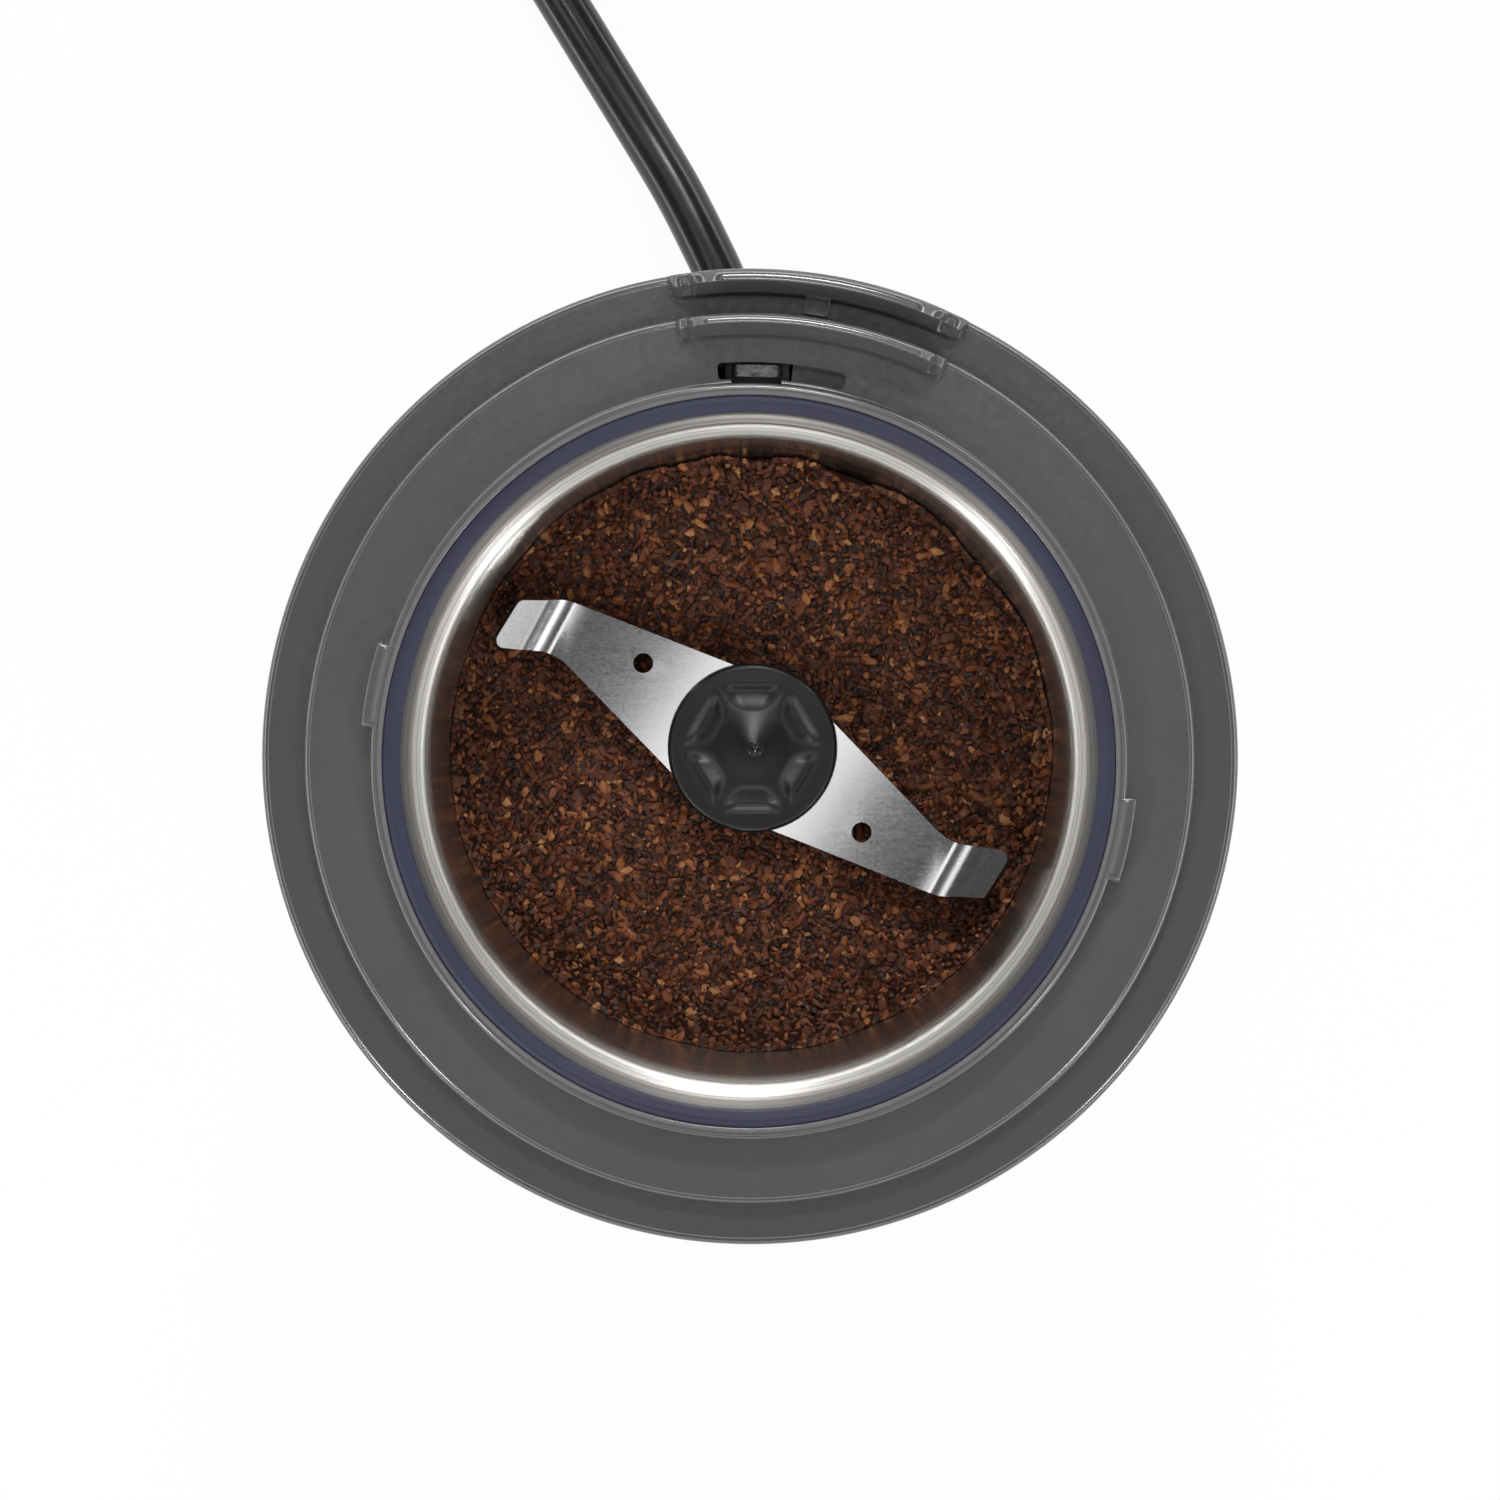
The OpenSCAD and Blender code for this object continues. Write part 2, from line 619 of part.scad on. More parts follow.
module upper_bracket() color("silver") {
    z1 = gasket_z - 0.02;
    ear_r = 5.6;
    difference() {
        union() {
            translate([0, 0, bracket_z]) cylinder(r = stator_r, h = z1 - bracket_z);
            translate([0, 0, bracket_z - boss_l]) cylinder(r = bearing_r + 2.5, h = boss_l + 1);
            for (a = leg_angles) rotate([0, 0, a]) {
                translate([leg_ring_r, 0, bracket_z]) cylinder(r = ear_r, h = z1 - bracket_z);
                translate([stator_r - 6, -ear_r, bracket_z])
                    cube([leg_ring_r - stator_r + 6, 2 * ear_r, z1 - bracket_z]);
            }
            for (a = bolt_angles) rotate([0, 0, a])
                translate([bolt_ring_r, 0, stack_z + stack_h])
                    cylinder(r = post_r, h = bracket_z + 1 - stack_z - stack_h);
        }
        translate([0, 0, bracket_z - boss_l - cut]) cylinder(r = bearing_r + fit_gap, h = bearing_h + cut);
        translate([0, 0, bracket_z]) cylinder(r = shaft_r + 0.8, h = 2 * bracket_t);
        for (a = leg_angles) rotate([0, 0, a])
            translate([leg_ring_r, 0, bracket_z - cut]) cylinder(r = 3.2, h = bracket_t + 2 * cut);
        for (a = bolt_angles) rotate([0, 0, a])
            translate([bolt_ring_r, 0, stack_z + stack_h - cut]) cylinder(r = bolt_r + fit_gap, h = 10);
        // air openings between the ears
        for (a = [90, 210, 330]) arc_block(13, 22, bracket_z - cut, gasket_z + cut, a - 26, a + 26);
    }
}

module bearing(z0) {
    difference() {
        intersection() {
            translate([0, 0, z0]) cylinder(r = bearing_r, h = bearing_h - 0.1);
            translate([0, 0, z0 + bearing_h / 2]) sphere(r = bearing_r + 0.9, $fn = 128);
        }
        translate([0, 0, z0 - cut]) cylinder(r = shaft_r + run_gap, h = bearing_h + 2 * cut);
    }
}

module upper_bearing() color("goldenrod") bearing(bracket_z - boss_l);
module lower_bearing() color("goldenrod") bearing(lower_z - 2);

module motor_dampers() color("black") {
    z0 = bracket_z + bracket_t / 2 - damper_h / 2;
    for (a = leg_angles) rotate([0, 0, a]) translate([leg_ring_r, 0, 0])
        rotate_extrude()
            polygon([
                [leg_screw_r + fit_gap, z0], [5, z0], [5, bracket_z - 0.02], [3.15, bracket_z - 0.02],
                [3.15, bracket_z + bracket_t], [5, bracket_z + bracket_t], [5, z0 + damper_h - 0.02],
                [leg_screw_r + fit_gap, z0 + damper_h - 0.02]
            ]);
}

module screw(r, l, head_r, head_h) {
    // head below, shank upwards from z = 0
    cylinder(r = r, h = l);
    translate([0, 0, -head_h])
        difference() {
            cylinder(r = head_r, h = head_h);
            for (a = [0, 90]) rotate([0, 0, a])
                translate([-head_r * 0.6, -0.4, -cut]) cube([head_r * 1.2, 0.8, cut + head_h * 0.5]);
        }
}

module motor_screws() color("silver") {
    for (a = leg_angles) rotate([0, 0, a])
        translate([leg_ring_r, 0, bracket_z + bracket_t / 2 - damper_h / 2 - 0.02])
            screw(leg_screw_r, 15, 3.2, 1.8);
}

module sector(r, from, to) {
    polygon(concat([[0, 0]], [for (i = [0:8]) polar(2 * r, from + (to - from) * i / 8)]));
}

module stator_section() {
    bore = armature_r + air_gap;
    difference() {
        intersection() {
            circle(r = stator_r);
            square(2 * stator_flat, center = true);
        }
        circle(r = bore);
        for (side = [0, 180]) rotate([0, 0, side]) {
            intersection() {
                circle(r = coil_out_r + window_gap);
                sector(coil_out_r, shoe_half - 90, 90 - shoe_half);
            }
            intersection() {
                difference() {
                    circle(r = coil_out_r + window_gap);
                    circle(r = coil_in_r - window_gap);
                }
                sector(coil_out_r, pole_half - 90, 90 - pole_half);
            }
        }
        for (a = bolt_angles) rotate([0, 0, a])
            translate([bolt_ring_r, 0]) circle(r = bolt_r + fit_gap, $fn = 32);
    }
}

module stator_core() color("slategray") {
    translate([0, 0, stack_z]) linear_extrude(stack_h) stator_section();
}

// One field coil: two legs through the stator's windows, joined over the pole at both ends
module field_coil(middle) {
    leg = shoe_half - 3; // degrees from the pole's middle to the coil's outer edge
    difference() {
        arc_block(coil_in_r, coil_out_r, stack_z - winding_h, stack_z + stack_h + winding_h,
            middle - leg, middle + leg);
        arc_block(coil_in_r - cut, coil_out_r + cut, stack_z - window_gap, stack_z + stack_h + window_gap,
            middle - pole_half - 1.5, middle + pole_half + 1.5);
    }
}

module field_coil_back() color("peru") field_coil(90);
module field_coil_front() color("peru") field_coil(270);

slots = 12;
slot_ring_r = armature_r - 4.2;
tooth_w = 1.5;
slot_r = slot_ring_r * sin(180 / slots) - tooth_w / 2;

module armature_core() color("slategray") {
    translate([0, 0, stack_z])
        linear_extrude(stack_h)
            difference() {
                circle(r = armature_r);
                circle(r = shaft_r + fit_gap);
                for (i = [0:slots - 1]) rotate([0, 0, 360 * i / slots]) {
                    translate([slot_ring_r, 0]) circle(r = slot_r, $fn = 32);
                    translate([slot_ring_r, -0.8]) square([armature_r, 1.6]);
                }
            }
}

module end_winding(z0) {
    rotate_extrude()
        polygon(rounded([
            [shaft_r + 1.5, z0, 0], [armature_r - 1.6, z0, 0], [armature_r - 1.6, z0 + winding_h - 0.3, 2.5],
            [shaft_r + 1.5, z0 + winding_h - 0.3, 1.5]
        ], 4));
}

module armature_winding() color("sienna") {
    end_winding(stack_z + stack_h + 0.02);
    translate([0, 0, 2 * stack_z - 0.02]) mirror([0, 0, 1]) end_winding(stack_z);
    for (i = [0:slots - 1]) rotate([0, 0, 360 * i / slots])
        translate([slot_ring_r, 0, stack_z - 0.5]) cylinder(r = slot_r - 0.15, h = stack_h + 1, $fn = 32);
}

module commutator() color("peru") {
    bars = 24;
    difference() {
        union() {
            translate([0, 0, commutator_z]) cylinder(r = commutator_r, h = commutator_h);
            translate([0, 0, commutator_z + commutator_h - 2]) cylinder(r = commutator_r + 1.2, h = 2);
        }
        translate([0, 0, commutator_z - cut]) cylinder(r = shaft_r + fit_gap, h = commutator_h + 2 * cut);
        for (i = [0:bars - 1]) rotate([0, 0, 360 * i / bars])
            translate([commutator_r - 0.7, -0.25, commutator_z - cut]) cube([4, 0.5, commutator_h + 2 * cut]);
    }
}

module cooling_fan() color("white") {
    vanes = 10;
    difference() {
        union() {
            translate([0, 0, fan_z]) cylinder(r = fan_r, h = 1.2);
            translate([0, 0, fan_z]) cylinder(r = 6, h = fan_h);
            for (i = [0:vanes - 1]) rotate([0, 0, 360 * i / vanes])
                translate([0, 4, fan_z]) rotate([0, 0, -14])
                    translate([5, -0.6, 0]) cube([fan_r - 8, 1.2, fan_h]);
        }
        translate([0, 0, fan_z - cut]) cylinder(r = shaft_r + fit_gap, h = fan_h + 2 * cut);
    }
}

brush_z = commutator_z + commutator_h / 2 - 1;
brush_w = 6;
brush_h = 5;
holder_wall = 1;
holder_from = commutator_r + 1;
holder_l = 15;

module lower_bracket() color("ivory") {
    span = holder_from + holder_l;
    difference() {
        union() {
            translate([0, 0, lower_z])
                linear_extrude(lower_t) {
                    circle(r = bearing_r + 5);
                    square([2 * span, 10], center = true);
                    rotate([0, 0, 45]) square([2 * bolt_ring_r, 9], center = true);
                    for (a = bolt_angles) rotate([0, 0, a]) translate([bolt_ring_r, 0]) circle(r = 5.5);
                }
            translate([0, 0, lower_z - 2]) cylinder(r = bearing_r + 2, h = 3);
            for (a = bolt_angles) rotate([0, 0, a]) translate([bolt_ring_r, 0, lower_z + 1]) {
                cylinder(r = 4.2, h = stack_z - winding_h - 2 - lower_z);
                cylinder(r = post_r, h = stack_z - 1.02 - lower_z);
            }
        }
        translate([0, 0, lower_z - 2 - cut]) cylinder(r = bearing_r + fit_gap, h = bearing_h + cut);
        for (a = bolt_angles) rotate([0, 0, a])
            translate([bolt_ring_r, 0, lower_z - cut]) cylinder(r = bolt_r + fit_gap, h = stack_z);
    }
}

module motor_bolts() color("silver") {
    l = stack_z + stack_h + 8 - lower_z;
    for (a = bolt_angles) rotate([0, 0, a]) translate([bolt_ring_r, 0, lower_z]) screw(bolt_r, l, 3, 2);
}

module brush_holder() {
    low = lower_z + lower_t + 0.02;
    width = brush_w + 2 * holder_wall;
    difference() {
        translate([holder_from, -width / 2, low])
            cube([holder_l, width, brush_z + brush_h / 2 + holder_wall - low]);
        translate([holder_from - cut, -brush_w / 2 - 0.05, brush_z - brush_h / 2 - 0.05])
            cube([holder_l - 1 + cut, brush_w + 0.1, brush_h + 0.1]);
    }
}

module carbon_brush() {
    difference() {
        translate([commutator_r - 1, -brush_w / 2, brush_z - brush_h / 2]) cube([9, brush_w, brush_h]);
        translate([0, 0, brush_z - brush_h]) cylinder(r = commutator_r + 0.1, h = 2 * brush_h);
    }
}

// A spring as a row of wire rings, each joined to the next by a short piece of wire
module ring_spring(l, coils, mean_r, wire_r) {
    pitch = (l - 2 * wire_r) / (coils - 1);
    for (i = [0:coils - 1])
        translate([0, 0, wire_r + i * pitch])
            rotate_extrude($fn = 40) translate([mean_r, 0]) circle(r = wire_r, $fn = 16);
    for (i = [0:coils - 2])
        rotate([0, 0, 180 * i])
            translate([mean_r, 0, wire_r + i * pitch]) cylinder(r = wire_r * 0.9, h = pitch, $fn = 16);
}

module brush_spring() {
    from = commutator_r + 8.1;
    to = holder_from + holder_l - 1.1;
    translate([from, 0, brush_z]) rotate([0, 90, 0]) ring_spring(to - from, 5, 1.8, 0.25);
}

module brush_holder_right() color("gold") brush_holder();
module brush_holder_left() color("gold") rotate([0, 0, 180]) brush_holder();
module carbon_brush_right() color("dimgray") carbon_brush();
module carbon_brush_left() color("dimgray") rotate([0, 0, 180]) carbon_brush();
module brush_spring_right() color("silver") brush_spring();
module brush_spring_left() color("silver") rotate([0, 0, 180]) brush_spring();

// ---- Safety plunger and switch ----

guide_z = rod_end_z + 1.1; // underside of the guide that the rod slides in
guide_t = 2;
spring_gap = 0.15;
plate_y = collar_out_r - 3.6; // inner face of the switch bracket's plate
plate_t = 1.5;
bracket_screw_x = [-12, 12];
bracket_screw_y = collar_out_r - 0.7;
bracket_top_z = deck_under_z - 3.8;
switch_l = 19.8;
switch_t = 6.4;
button_r = 1.2;
pin_x = 4.75;
pin_r = 1.15;

module safety_plunger() color("black") at_plunger() {
    chamfer = 0.8;
    top = deck_z - plunger_low;
    translate([0, plunger_r + plunger_t / 2, 0])
        rotate([90, 0, 0])
            linear_extrude(plunger_t)
                polygon([
                    [-plunger_w / 2, shoulder_z - 1], [plunger_w / 2, shoulder_z - 1],
                    [plunger_w / 2, top - chamfer], [plunger_w / 2 - chamfer, top],
                    [-plunger_w / 2 + chamfer, top], [-plunger_w / 2, top - chamfer]
                ]);
    translate([-plunger_w / 2 - 0.75, plunger_r - 1.6, shoulder_z - shoulder_h])
        cube([plunger_w + 1.5, 3.7, shoulder_h]);
    translate([0, plunger_r, rod_end_z]) cylinder(r = rod_r, h = rod_l + 1, $fn = 48);
}

module plunger_spring() color("silver") at_plunger() {
    from = guide_z + guide_t + spring_gap;
    to = shoulder_z - shoulder_h - spring_gap;
    translate([0, plunger_r, from]) ring_spring(to - from, 6, rod_r + 0.65, 0.25);
}

module switch_bracket() color("ivory") at_plunger() {
    difference() {
        union() {
            translate([-9.4, plate_y, switch_z - 2]) cube([18.8, plate_t, bracket_top_z - switch_z + 1.98]);
            for (x = bracket_screw_x)
                translate([x - 2.8, plate_y, bracket_top_z - 2])
                    cube([5.6, bracket_screw_y - plate_y + 2.6, 2 - 0.02]);
            translate([-4, plate_y, guide_z]) cube([8, plunger_r + 3 - plate_y, guide_t]);
            for (x = [-4, 3]) translate([x, plate_y, guide_z + guide_t - 0.5])
                cube([1, plunger_r - rod_r - 1.5 - plate_y, 3]);
            for (x = [-pin_x, pin_x])
                translate([x, plate_y, switch_z + 2.6]) rotate([-90, 0, 0])
                    cylinder(r = pin_r, h = plate_t + switch_t + 0.6, $fn = 32);
        }
        translate([0, plunger_r, guide_z - cut]) cylinder(r = rod_r + 0.1, h = guide_t + 2 * cut, $fn = 48);
        for (x = bracket_screw_x)
            translate([x, bracket_screw_y, bracket_top_z - 3]) cylinder(r = 1.1 + fit_gap, h = 4, $fn = 32);
    }
}

module bracket_screws() color("silver") at_plunger() {
    for (x = bracket_screw_x) translate([x, bracket_screw_y, bracket_top_z - 2.02]) screw(1.1, 6, 2.2, 1.3);
}

module switch_body() color("black") at_plunger() {
    y0 = plate_y + plate_t + 0.02;
    difference() {
        translate([-switch_l / 2, y0, switch_z]) cube([switch_l, switch_t, switch_h]);
        for (x = [-pin_x, pin_x])
            translate([x, y0 - cut, switch_z + 2.6]) rotate([-90, 0, 0])
                cylinder(r = pin_r + fit_gap, h = switch_t + 2 * cut, $fn = 32);
        translate([0, plunger_r, switch_z + switch_h - 4]) cylinder(r = button_r + run_gap, h = 5, $fn = 32);
    }
}

module switch_button() color("red") at_plunger() {
    translate([0, plunger_r, switch_z + switch_h - 1.5])
        cylinder(r = button_r, h = 1.5 + button_up, $fn = 32);
}

module switch_terminals() color("gold") at_plunger() {
    for (x = [-terminal_x, 0, terminal_x])
        translate([x - 1.6, terminal_r - 0.25, switch_z - terminal_h]) cube([3.2, 0.5, terminal_h - 0.02]);
}

// ---- Base ----

module base_cover() color("dimgray") {
    z1 = foot_gap + base_t;
    difference() {
        union() {
            translate([0, 0, foot_gap]) cylinder(r = base_r, h = base_t);
            ring(base_r - base_rim_t, base_r, foot_gap, z1 + base_rim_h);
            for (a = base_boss_angles) rotate([0, 0, a])
                translate([base_boss_r, 0, foot_gap]) cylinder(r = boss_out_r + 0.4, h = base_t + base_rim_h);
            clamp_place() for (x = clamp_screw_x)
                translate([x, 0, z1 - 0.5]) cylinder(r = 2.6, h = exit_z - z1 + 0.5);
        }
        for (a = base_boss_angles) rotate([0, 0, a]) translate([base_boss_r, 0, 0]) {
            cylinder(r = base_screw_r + 0.2, h = 20);
            cylinder(r = 3.2, h = foot_gap + 3);
        }
        for (a = foot_angles) rotate([0, 0, a]) translate([foot_ring_r, 0, 0]) {
            cylinder(r = foot_pad_r + fit_gap, h = foot_gap + foot_recess);
            cylinder(r = foot_stem_r + fit_gap, h = z1 + cut);
        }
        for (a = [150:15:405]) rotate([0, 0, a])
            translate([12, -1.1, foot_gap - cut]) cube([15, 2.2, base_t + 2 * cut]);
        relief_axis() translate([0, 0, clamp_at + 5]) cylinder(r = relief_hole_r + 1.3, h = exit_reach);
        clamp_place() for (x = clamp_screw_x)
            translate([x, 0, foot_gap + 1]) cylinder(r = 1.1 + fit_gap, h = 10, $fn = 32);
    }
}

module base_screws() color("silver") {
    for (a = base_boss_angles) rotate([0, 0, a])
        translate([base_boss_r, 0, foot_gap + 2.98]) screw(base_screw_r, 15, 2.8, 1.8);
}

module foot_pad(a) {
    plate_top = foot_gap + base_t;
    rotate([0, 0, a]) translate([foot_ring_r, 0, 0])
        rotate_extrude()
            polygon(concat(
                [[0, 0], [foot_pad_r - 0.8, 0], [foot_pad_r, 0.8]],
                [[foot_pad_r, foot_gap + foot_recess - 0.02]],
                [[foot_stem_r, foot_gap + foot_recess - 0.02], [foot_stem_r, plate_top + 0.05]],
                [[foot_stem_r + 0.7, plate_top + 0.05], [foot_stem_r, plate_top + 1.6], [0, plate_top + 1.6]]
            ));
}

module foot_back_right() color("black") foot_pad(foot_angles[0]);
module foot_back_left() color("black") foot_pad(foot_angles[1]);
module foot_front_left() color("black") foot_pad(foot_angles[2]);
module foot_front_right() color("black") foot_pad(foot_angles[3]);

// ---- Lead ----

// Turns a shape's Z axis outwards along the strain relief's axis
module relief_axis() {
    rotate([0, 0, exit_angle]) translate([0, 0, exit_z]) rotate([0, 90, 0]) children();
}

module clamp_place() {
    rotate([0, 0, exit_angle - 90]) translate([0, clamp_at, 0]) children();
}

module strain_relief() color("black") relief_axis() {
    wall_out = side_r(exit_z) + 0.5;
    wall_in = wall_out - wall - 1.4;
    rotate_extrude()
        polygon([
            [cord_r + fit_gap, exit_reach - relief_l], [cord_r + 0.9, exit_reach - relief_l],
            [cord_r + 1, wall_in - 1.8], [cord_r + 2.2, wall_in - 1.8], [cord_r + 2.2, wall_in],
            [relief_hole_r - fit_gap, wall_in], [relief_hole_r - fit_gap, wall_out], [cord_r + 1.8, wall_out],
            [cord_r + 1.8, wall_out + 0.6], [cord_r + 0.8, exit_reach], [cord_r + fit_gap, exit_reach]
        ]);
}

clamp_h = cord_r + 1.6;

module cord_clamp() color("black") clamp_place() {
    difference() {
        translate([-cord_r - 7, -3, exit_z + 0.05]) cube([2 * cord_r + 14, 6, clamp_h]);
        translate([0, -4, exit_z]) rotate([-90, 0, 0]) cylinder(r = cord_r + fit_gap, h = 8);
        for (x = clamp_screw_x) translate([x, 0, exit_z - cut]) cylinder(r = 1.1 + fit_gap, h = 7, $fn = 32);
    }
}

module clamp_screws() color("silver") clamp_place() {
    for (x = clamp_screw_x)
        translate([x, 0, exit_z + clamp_h + 0.07]) mirror([0, 0, 1]) screw(1.1, 8, 2.1, 1.3);
}

// The lead inside the housing, from the strain relief past the clamp and up to the switch
module inner_lead() color("black") {
    relief_axis() translate([0, 0, clamp_at - 6]) cylinder(r = cord_r, h = exit_reach - clamp_at + 6);
}

module inner_wires() color("saddlebrown") {
    for (route = wires) tube(route, wire_r, 8, [1, 0, 0]);
}

module power_cord() color("black") tube(cord_route, cord_r, cord_sides);
module cord_tail() color("black") tube(tail_route, cord_r, cord_sides);

module coil_section(grow) {
    in_r = coil_inner_r - cord_r - grow;
    out_r = coil_outer_r + cord_r + grow;
    r = cord_r + grow;
    translate([in_r + r, 0]) circle(r = r, $fn = 32);
    translate([out_r - r, 0]) circle(r = r, $fn = 32);
    translate([in_r + r, -r]) square([out_r - in_r - 2 * r, 2 * r]);
}

module cord_coil() color("black") {
    translate(coil_at) rotate_extrude() coil_section(0);
}

module cord_tie() color("white") {
    translate(coil_at)
        rotate([90, 0, tie_angle])
            translate([0, 0, -tie_w / 2])
                linear_extrude(tie_w)
                    difference() {
                        coil_section(tie_t);
                        coil_section(0.02);
                    }
}

module plug_body() color("black") translate(plug_at) rotate([0, 0, plug_angle]) {
    intersection() {
        translate([0, 0, -8]) linear_extrude(16) plug_outline(10, 2.5);
        rotate([90, 0, 0]) translate([0, 0, -12]) linear_extrude(24) plug_outline(plug_half_h, 2);
    }
}

// Half the plug's width w: it narrows towards the lead
module plug_outline(w, r) {
    polygon(rounded([
        [0, plug_neck, 0], [5, plug_neck + 0.4, 5], [10, w, 4], [plug_l, w, r],
        [plug_l, -w, r], [10, -w, 4], [5, -plug_neck - 0.4, 5], [0, -plug_neck, 0]
    ], 5));
}

module plug_blades() color("gold") translate(plug_at) rotate([0, 0, plug_angle]) {
    for (y = [-6.35, 6.35]) translate([plug_l - 3, y - 0.75, -3.15]) cube([19, 1.5, 6.3]);
}

housing();
top_deck();
bowl();
bowl_seal();
base_cover();
base_screws();
foot_front_right();
foot_back_right();
foot_back_left();
foot_front_left();
hub_nut();
blade();
blade_spacer();
motor_shaft();
shaft_seal();
bowl_gasket();
upper_bracket();
upper_bearing();
motor_dampers();
motor_screws();
stator_core();
field_coil_front();
field_coil_back();
armature_core();
armature_winding();
commutator();
cooling_fan();
lower_bracket();
lower_bearing();
motor_bolts();
brush_holder_left();
brush_holder_right();
carbon_brush_left();
carbon_brush_right();
brush_spring_left();
brush_spring_right();
safety_plunger();
plunger_spring();
switch_bracket();
bracket_screws();
switch_body();
switch_button();
switch_terminals();
strain_relief();
cord_clamp();
clamp_screws();
inner_lead();
inner_wires();
power_cord();
cord_coil();
cord_tail();
cord_tie();
plug_body();
plug_blades();
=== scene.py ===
import json
import math
import random

import bmesh
import bpy
from mathutils import Matrix, Vector, noise


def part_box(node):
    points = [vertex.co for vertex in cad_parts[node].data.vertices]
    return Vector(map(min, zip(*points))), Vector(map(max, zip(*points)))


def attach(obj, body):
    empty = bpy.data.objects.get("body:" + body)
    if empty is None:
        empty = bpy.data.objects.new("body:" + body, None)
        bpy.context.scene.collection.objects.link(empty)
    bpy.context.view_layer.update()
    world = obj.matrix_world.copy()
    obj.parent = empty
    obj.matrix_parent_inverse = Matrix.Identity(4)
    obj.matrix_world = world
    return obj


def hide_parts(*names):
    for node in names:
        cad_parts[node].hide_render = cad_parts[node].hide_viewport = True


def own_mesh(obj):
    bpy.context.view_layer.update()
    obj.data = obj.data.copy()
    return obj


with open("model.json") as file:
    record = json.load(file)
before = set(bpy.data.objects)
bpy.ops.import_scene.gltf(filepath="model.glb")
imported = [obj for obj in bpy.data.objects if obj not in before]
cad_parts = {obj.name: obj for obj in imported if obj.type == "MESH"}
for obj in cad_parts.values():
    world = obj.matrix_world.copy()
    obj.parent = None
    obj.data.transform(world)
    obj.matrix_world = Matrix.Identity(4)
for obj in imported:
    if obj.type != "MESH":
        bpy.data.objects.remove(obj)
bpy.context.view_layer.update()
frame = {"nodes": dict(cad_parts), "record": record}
nodes = frame["nodes"]
mm = 0.001

camera = {
    "place": (9.45, 36.26, 746.1),  # millimetres, above and a little behind the bowl
    "target": (0.07, 1.01, 112.0),
    "lens": 146.09,
}


def intoScene(name, data):
    obj = bpy.data.objects.new(name, data)
    bpy.context.scene.collection.objects.link(obj)
    return obj


def makeCamera(spec):
    data = bpy.data.cameras.new("camera")
    data.lens = spec["lens"]
    data.sensor_width = 36
    data.clip_start = 0.01
    data.clip_end = 20
    obj = intoScene("camera", data)
    place = Vector(spec["place"]) * mm
    back = (place - Vector(spec["target"]) * mm).normalized()
    right = Vector((0, 1, 0)).cross(back).normalized()  # the picture's up is the object's back
    turn = Matrix((right, back.cross(right), back)).transposed().to_4x4()
    obj.matrix_world = Matrix.Translation(place) @ turn
    bpy.context.scene.camera = obj


makeCamera(camera)
print("camera done")


def newLook(name, rough, metal=0.0, specular=0.5, aniso=0.0):
    mat = bpy.data.materials.new(name)
    mat.use_nodes = True
    shader = mat.node_tree.nodes["Principled BSDF"]
    shader.inputs["Roughness"].default_value = rough
    shader.inputs["Metallic"].default_value = metal
    shader.inputs["Specular IOR Level"].default_value = specular
    shader.inputs["Anisotropic"].default_value = aniso
    return mat, mat.node_tree, shader


def addNode(tree, kind, inputs=None, **settings):
    node = tree.nodes.new(kind)
    for key, value in settings.items():
        setattr(node, key, value)
    for key, value in (inputs or {}).items():
        if isinstance(value, bpy.types.NodeSocket):
            tree.links.new(value, node.inputs[key])
        else:
            node.inputs[key].default_value = value
    return node


def objectPlace(tree):
    return addNode(tree, "ShaderNodeTexCoord").outputs["Object"]


def grain(tree, vector, scale, detail=3.0, roughness=0.6):
    return addNode(tree, "ShaderNodeTexNoise", {
        "Vector": vector, "Scale": scale, "Detail": detail, "Roughness": roughness,
    }).outputs["Fac"]


def stretched(tree, vector, turn, scale):
    return addNode(tree, "ShaderNodeMapping", {"Vector": vector, "Rotation": turn, "Scale": scale}).outputs[0]


def ramp(tree, fac, stops):
    node = addNode(tree, "ShaderNodeValToRGB", {"Fac": fac})
    while len(node.color_ramp.elements) < len(stops):
        node.color_ramp.elements.new(0.5)
    for element, (at, colour) in zip(node.color_ramp.elements, stops):
        element.position = at
        element.color = (*colour, 1)
    return node.outputs["Color"]


def span(tree, fac, low, high, fromLow=0.3, fromHigh=0.7):
    return addNode(tree, "ShaderNodeMapRange", {
        "Value": fac, "From Min": fromLow, "From Max": fromHigh, "To Min": low, "To Max": high,
    }).outputs["Result"]


def sums(tree, operation, a, b):
    return addNode(tree, "ShaderNodeMath", {0: a, 1: b}, operation=operation).outputs[0]


def paint(tree, shader, fac, stops):
    tree.links.new(ramp(tree, fac, stops), shader.inputs["Base Color"])


def polish(tree, shader, rough):
    tree.links.new(rough, shader.inputs["Roughness"])


def bump(tree, shader, height, distance, strength):
    node = addNode(tree, "ShaderNodeBump", {"Height": height, "Distance": distance, "Strength": strength})
    tree.links.new(node.outputs["Normal"], shader.inputs["Normal"])


def ringCoordinates(tree):
    # (distance from the axis, height, 0), so that a pattern on it runs round the axis,
    # and the direction out and up that crosses such a pattern
    x, y, z = addNode(tree, "ShaderNodeSeparateXYZ", {0: objectPlace(tree)}).outputs
    square = sums(tree, "ADD", sums(tree, "MULTIPLY", x, x), sums(tree, "MULTIPLY", y, y))
    reach = sums(tree, "SQRT", square, 0.0)
    across = addNode(tree, "ShaderNodeCombineXYZ", {"X": x, "Y": y, "Z": reach}).outputs[0]
    return addNode(tree, "ShaderNodeCombineXYZ", {"X": reach, "Y": z}).outputs[0], across


def grey(level):
    return (level, level, level)


def greys(stops):
    return [(at, grey(level)) for at, level in stops]


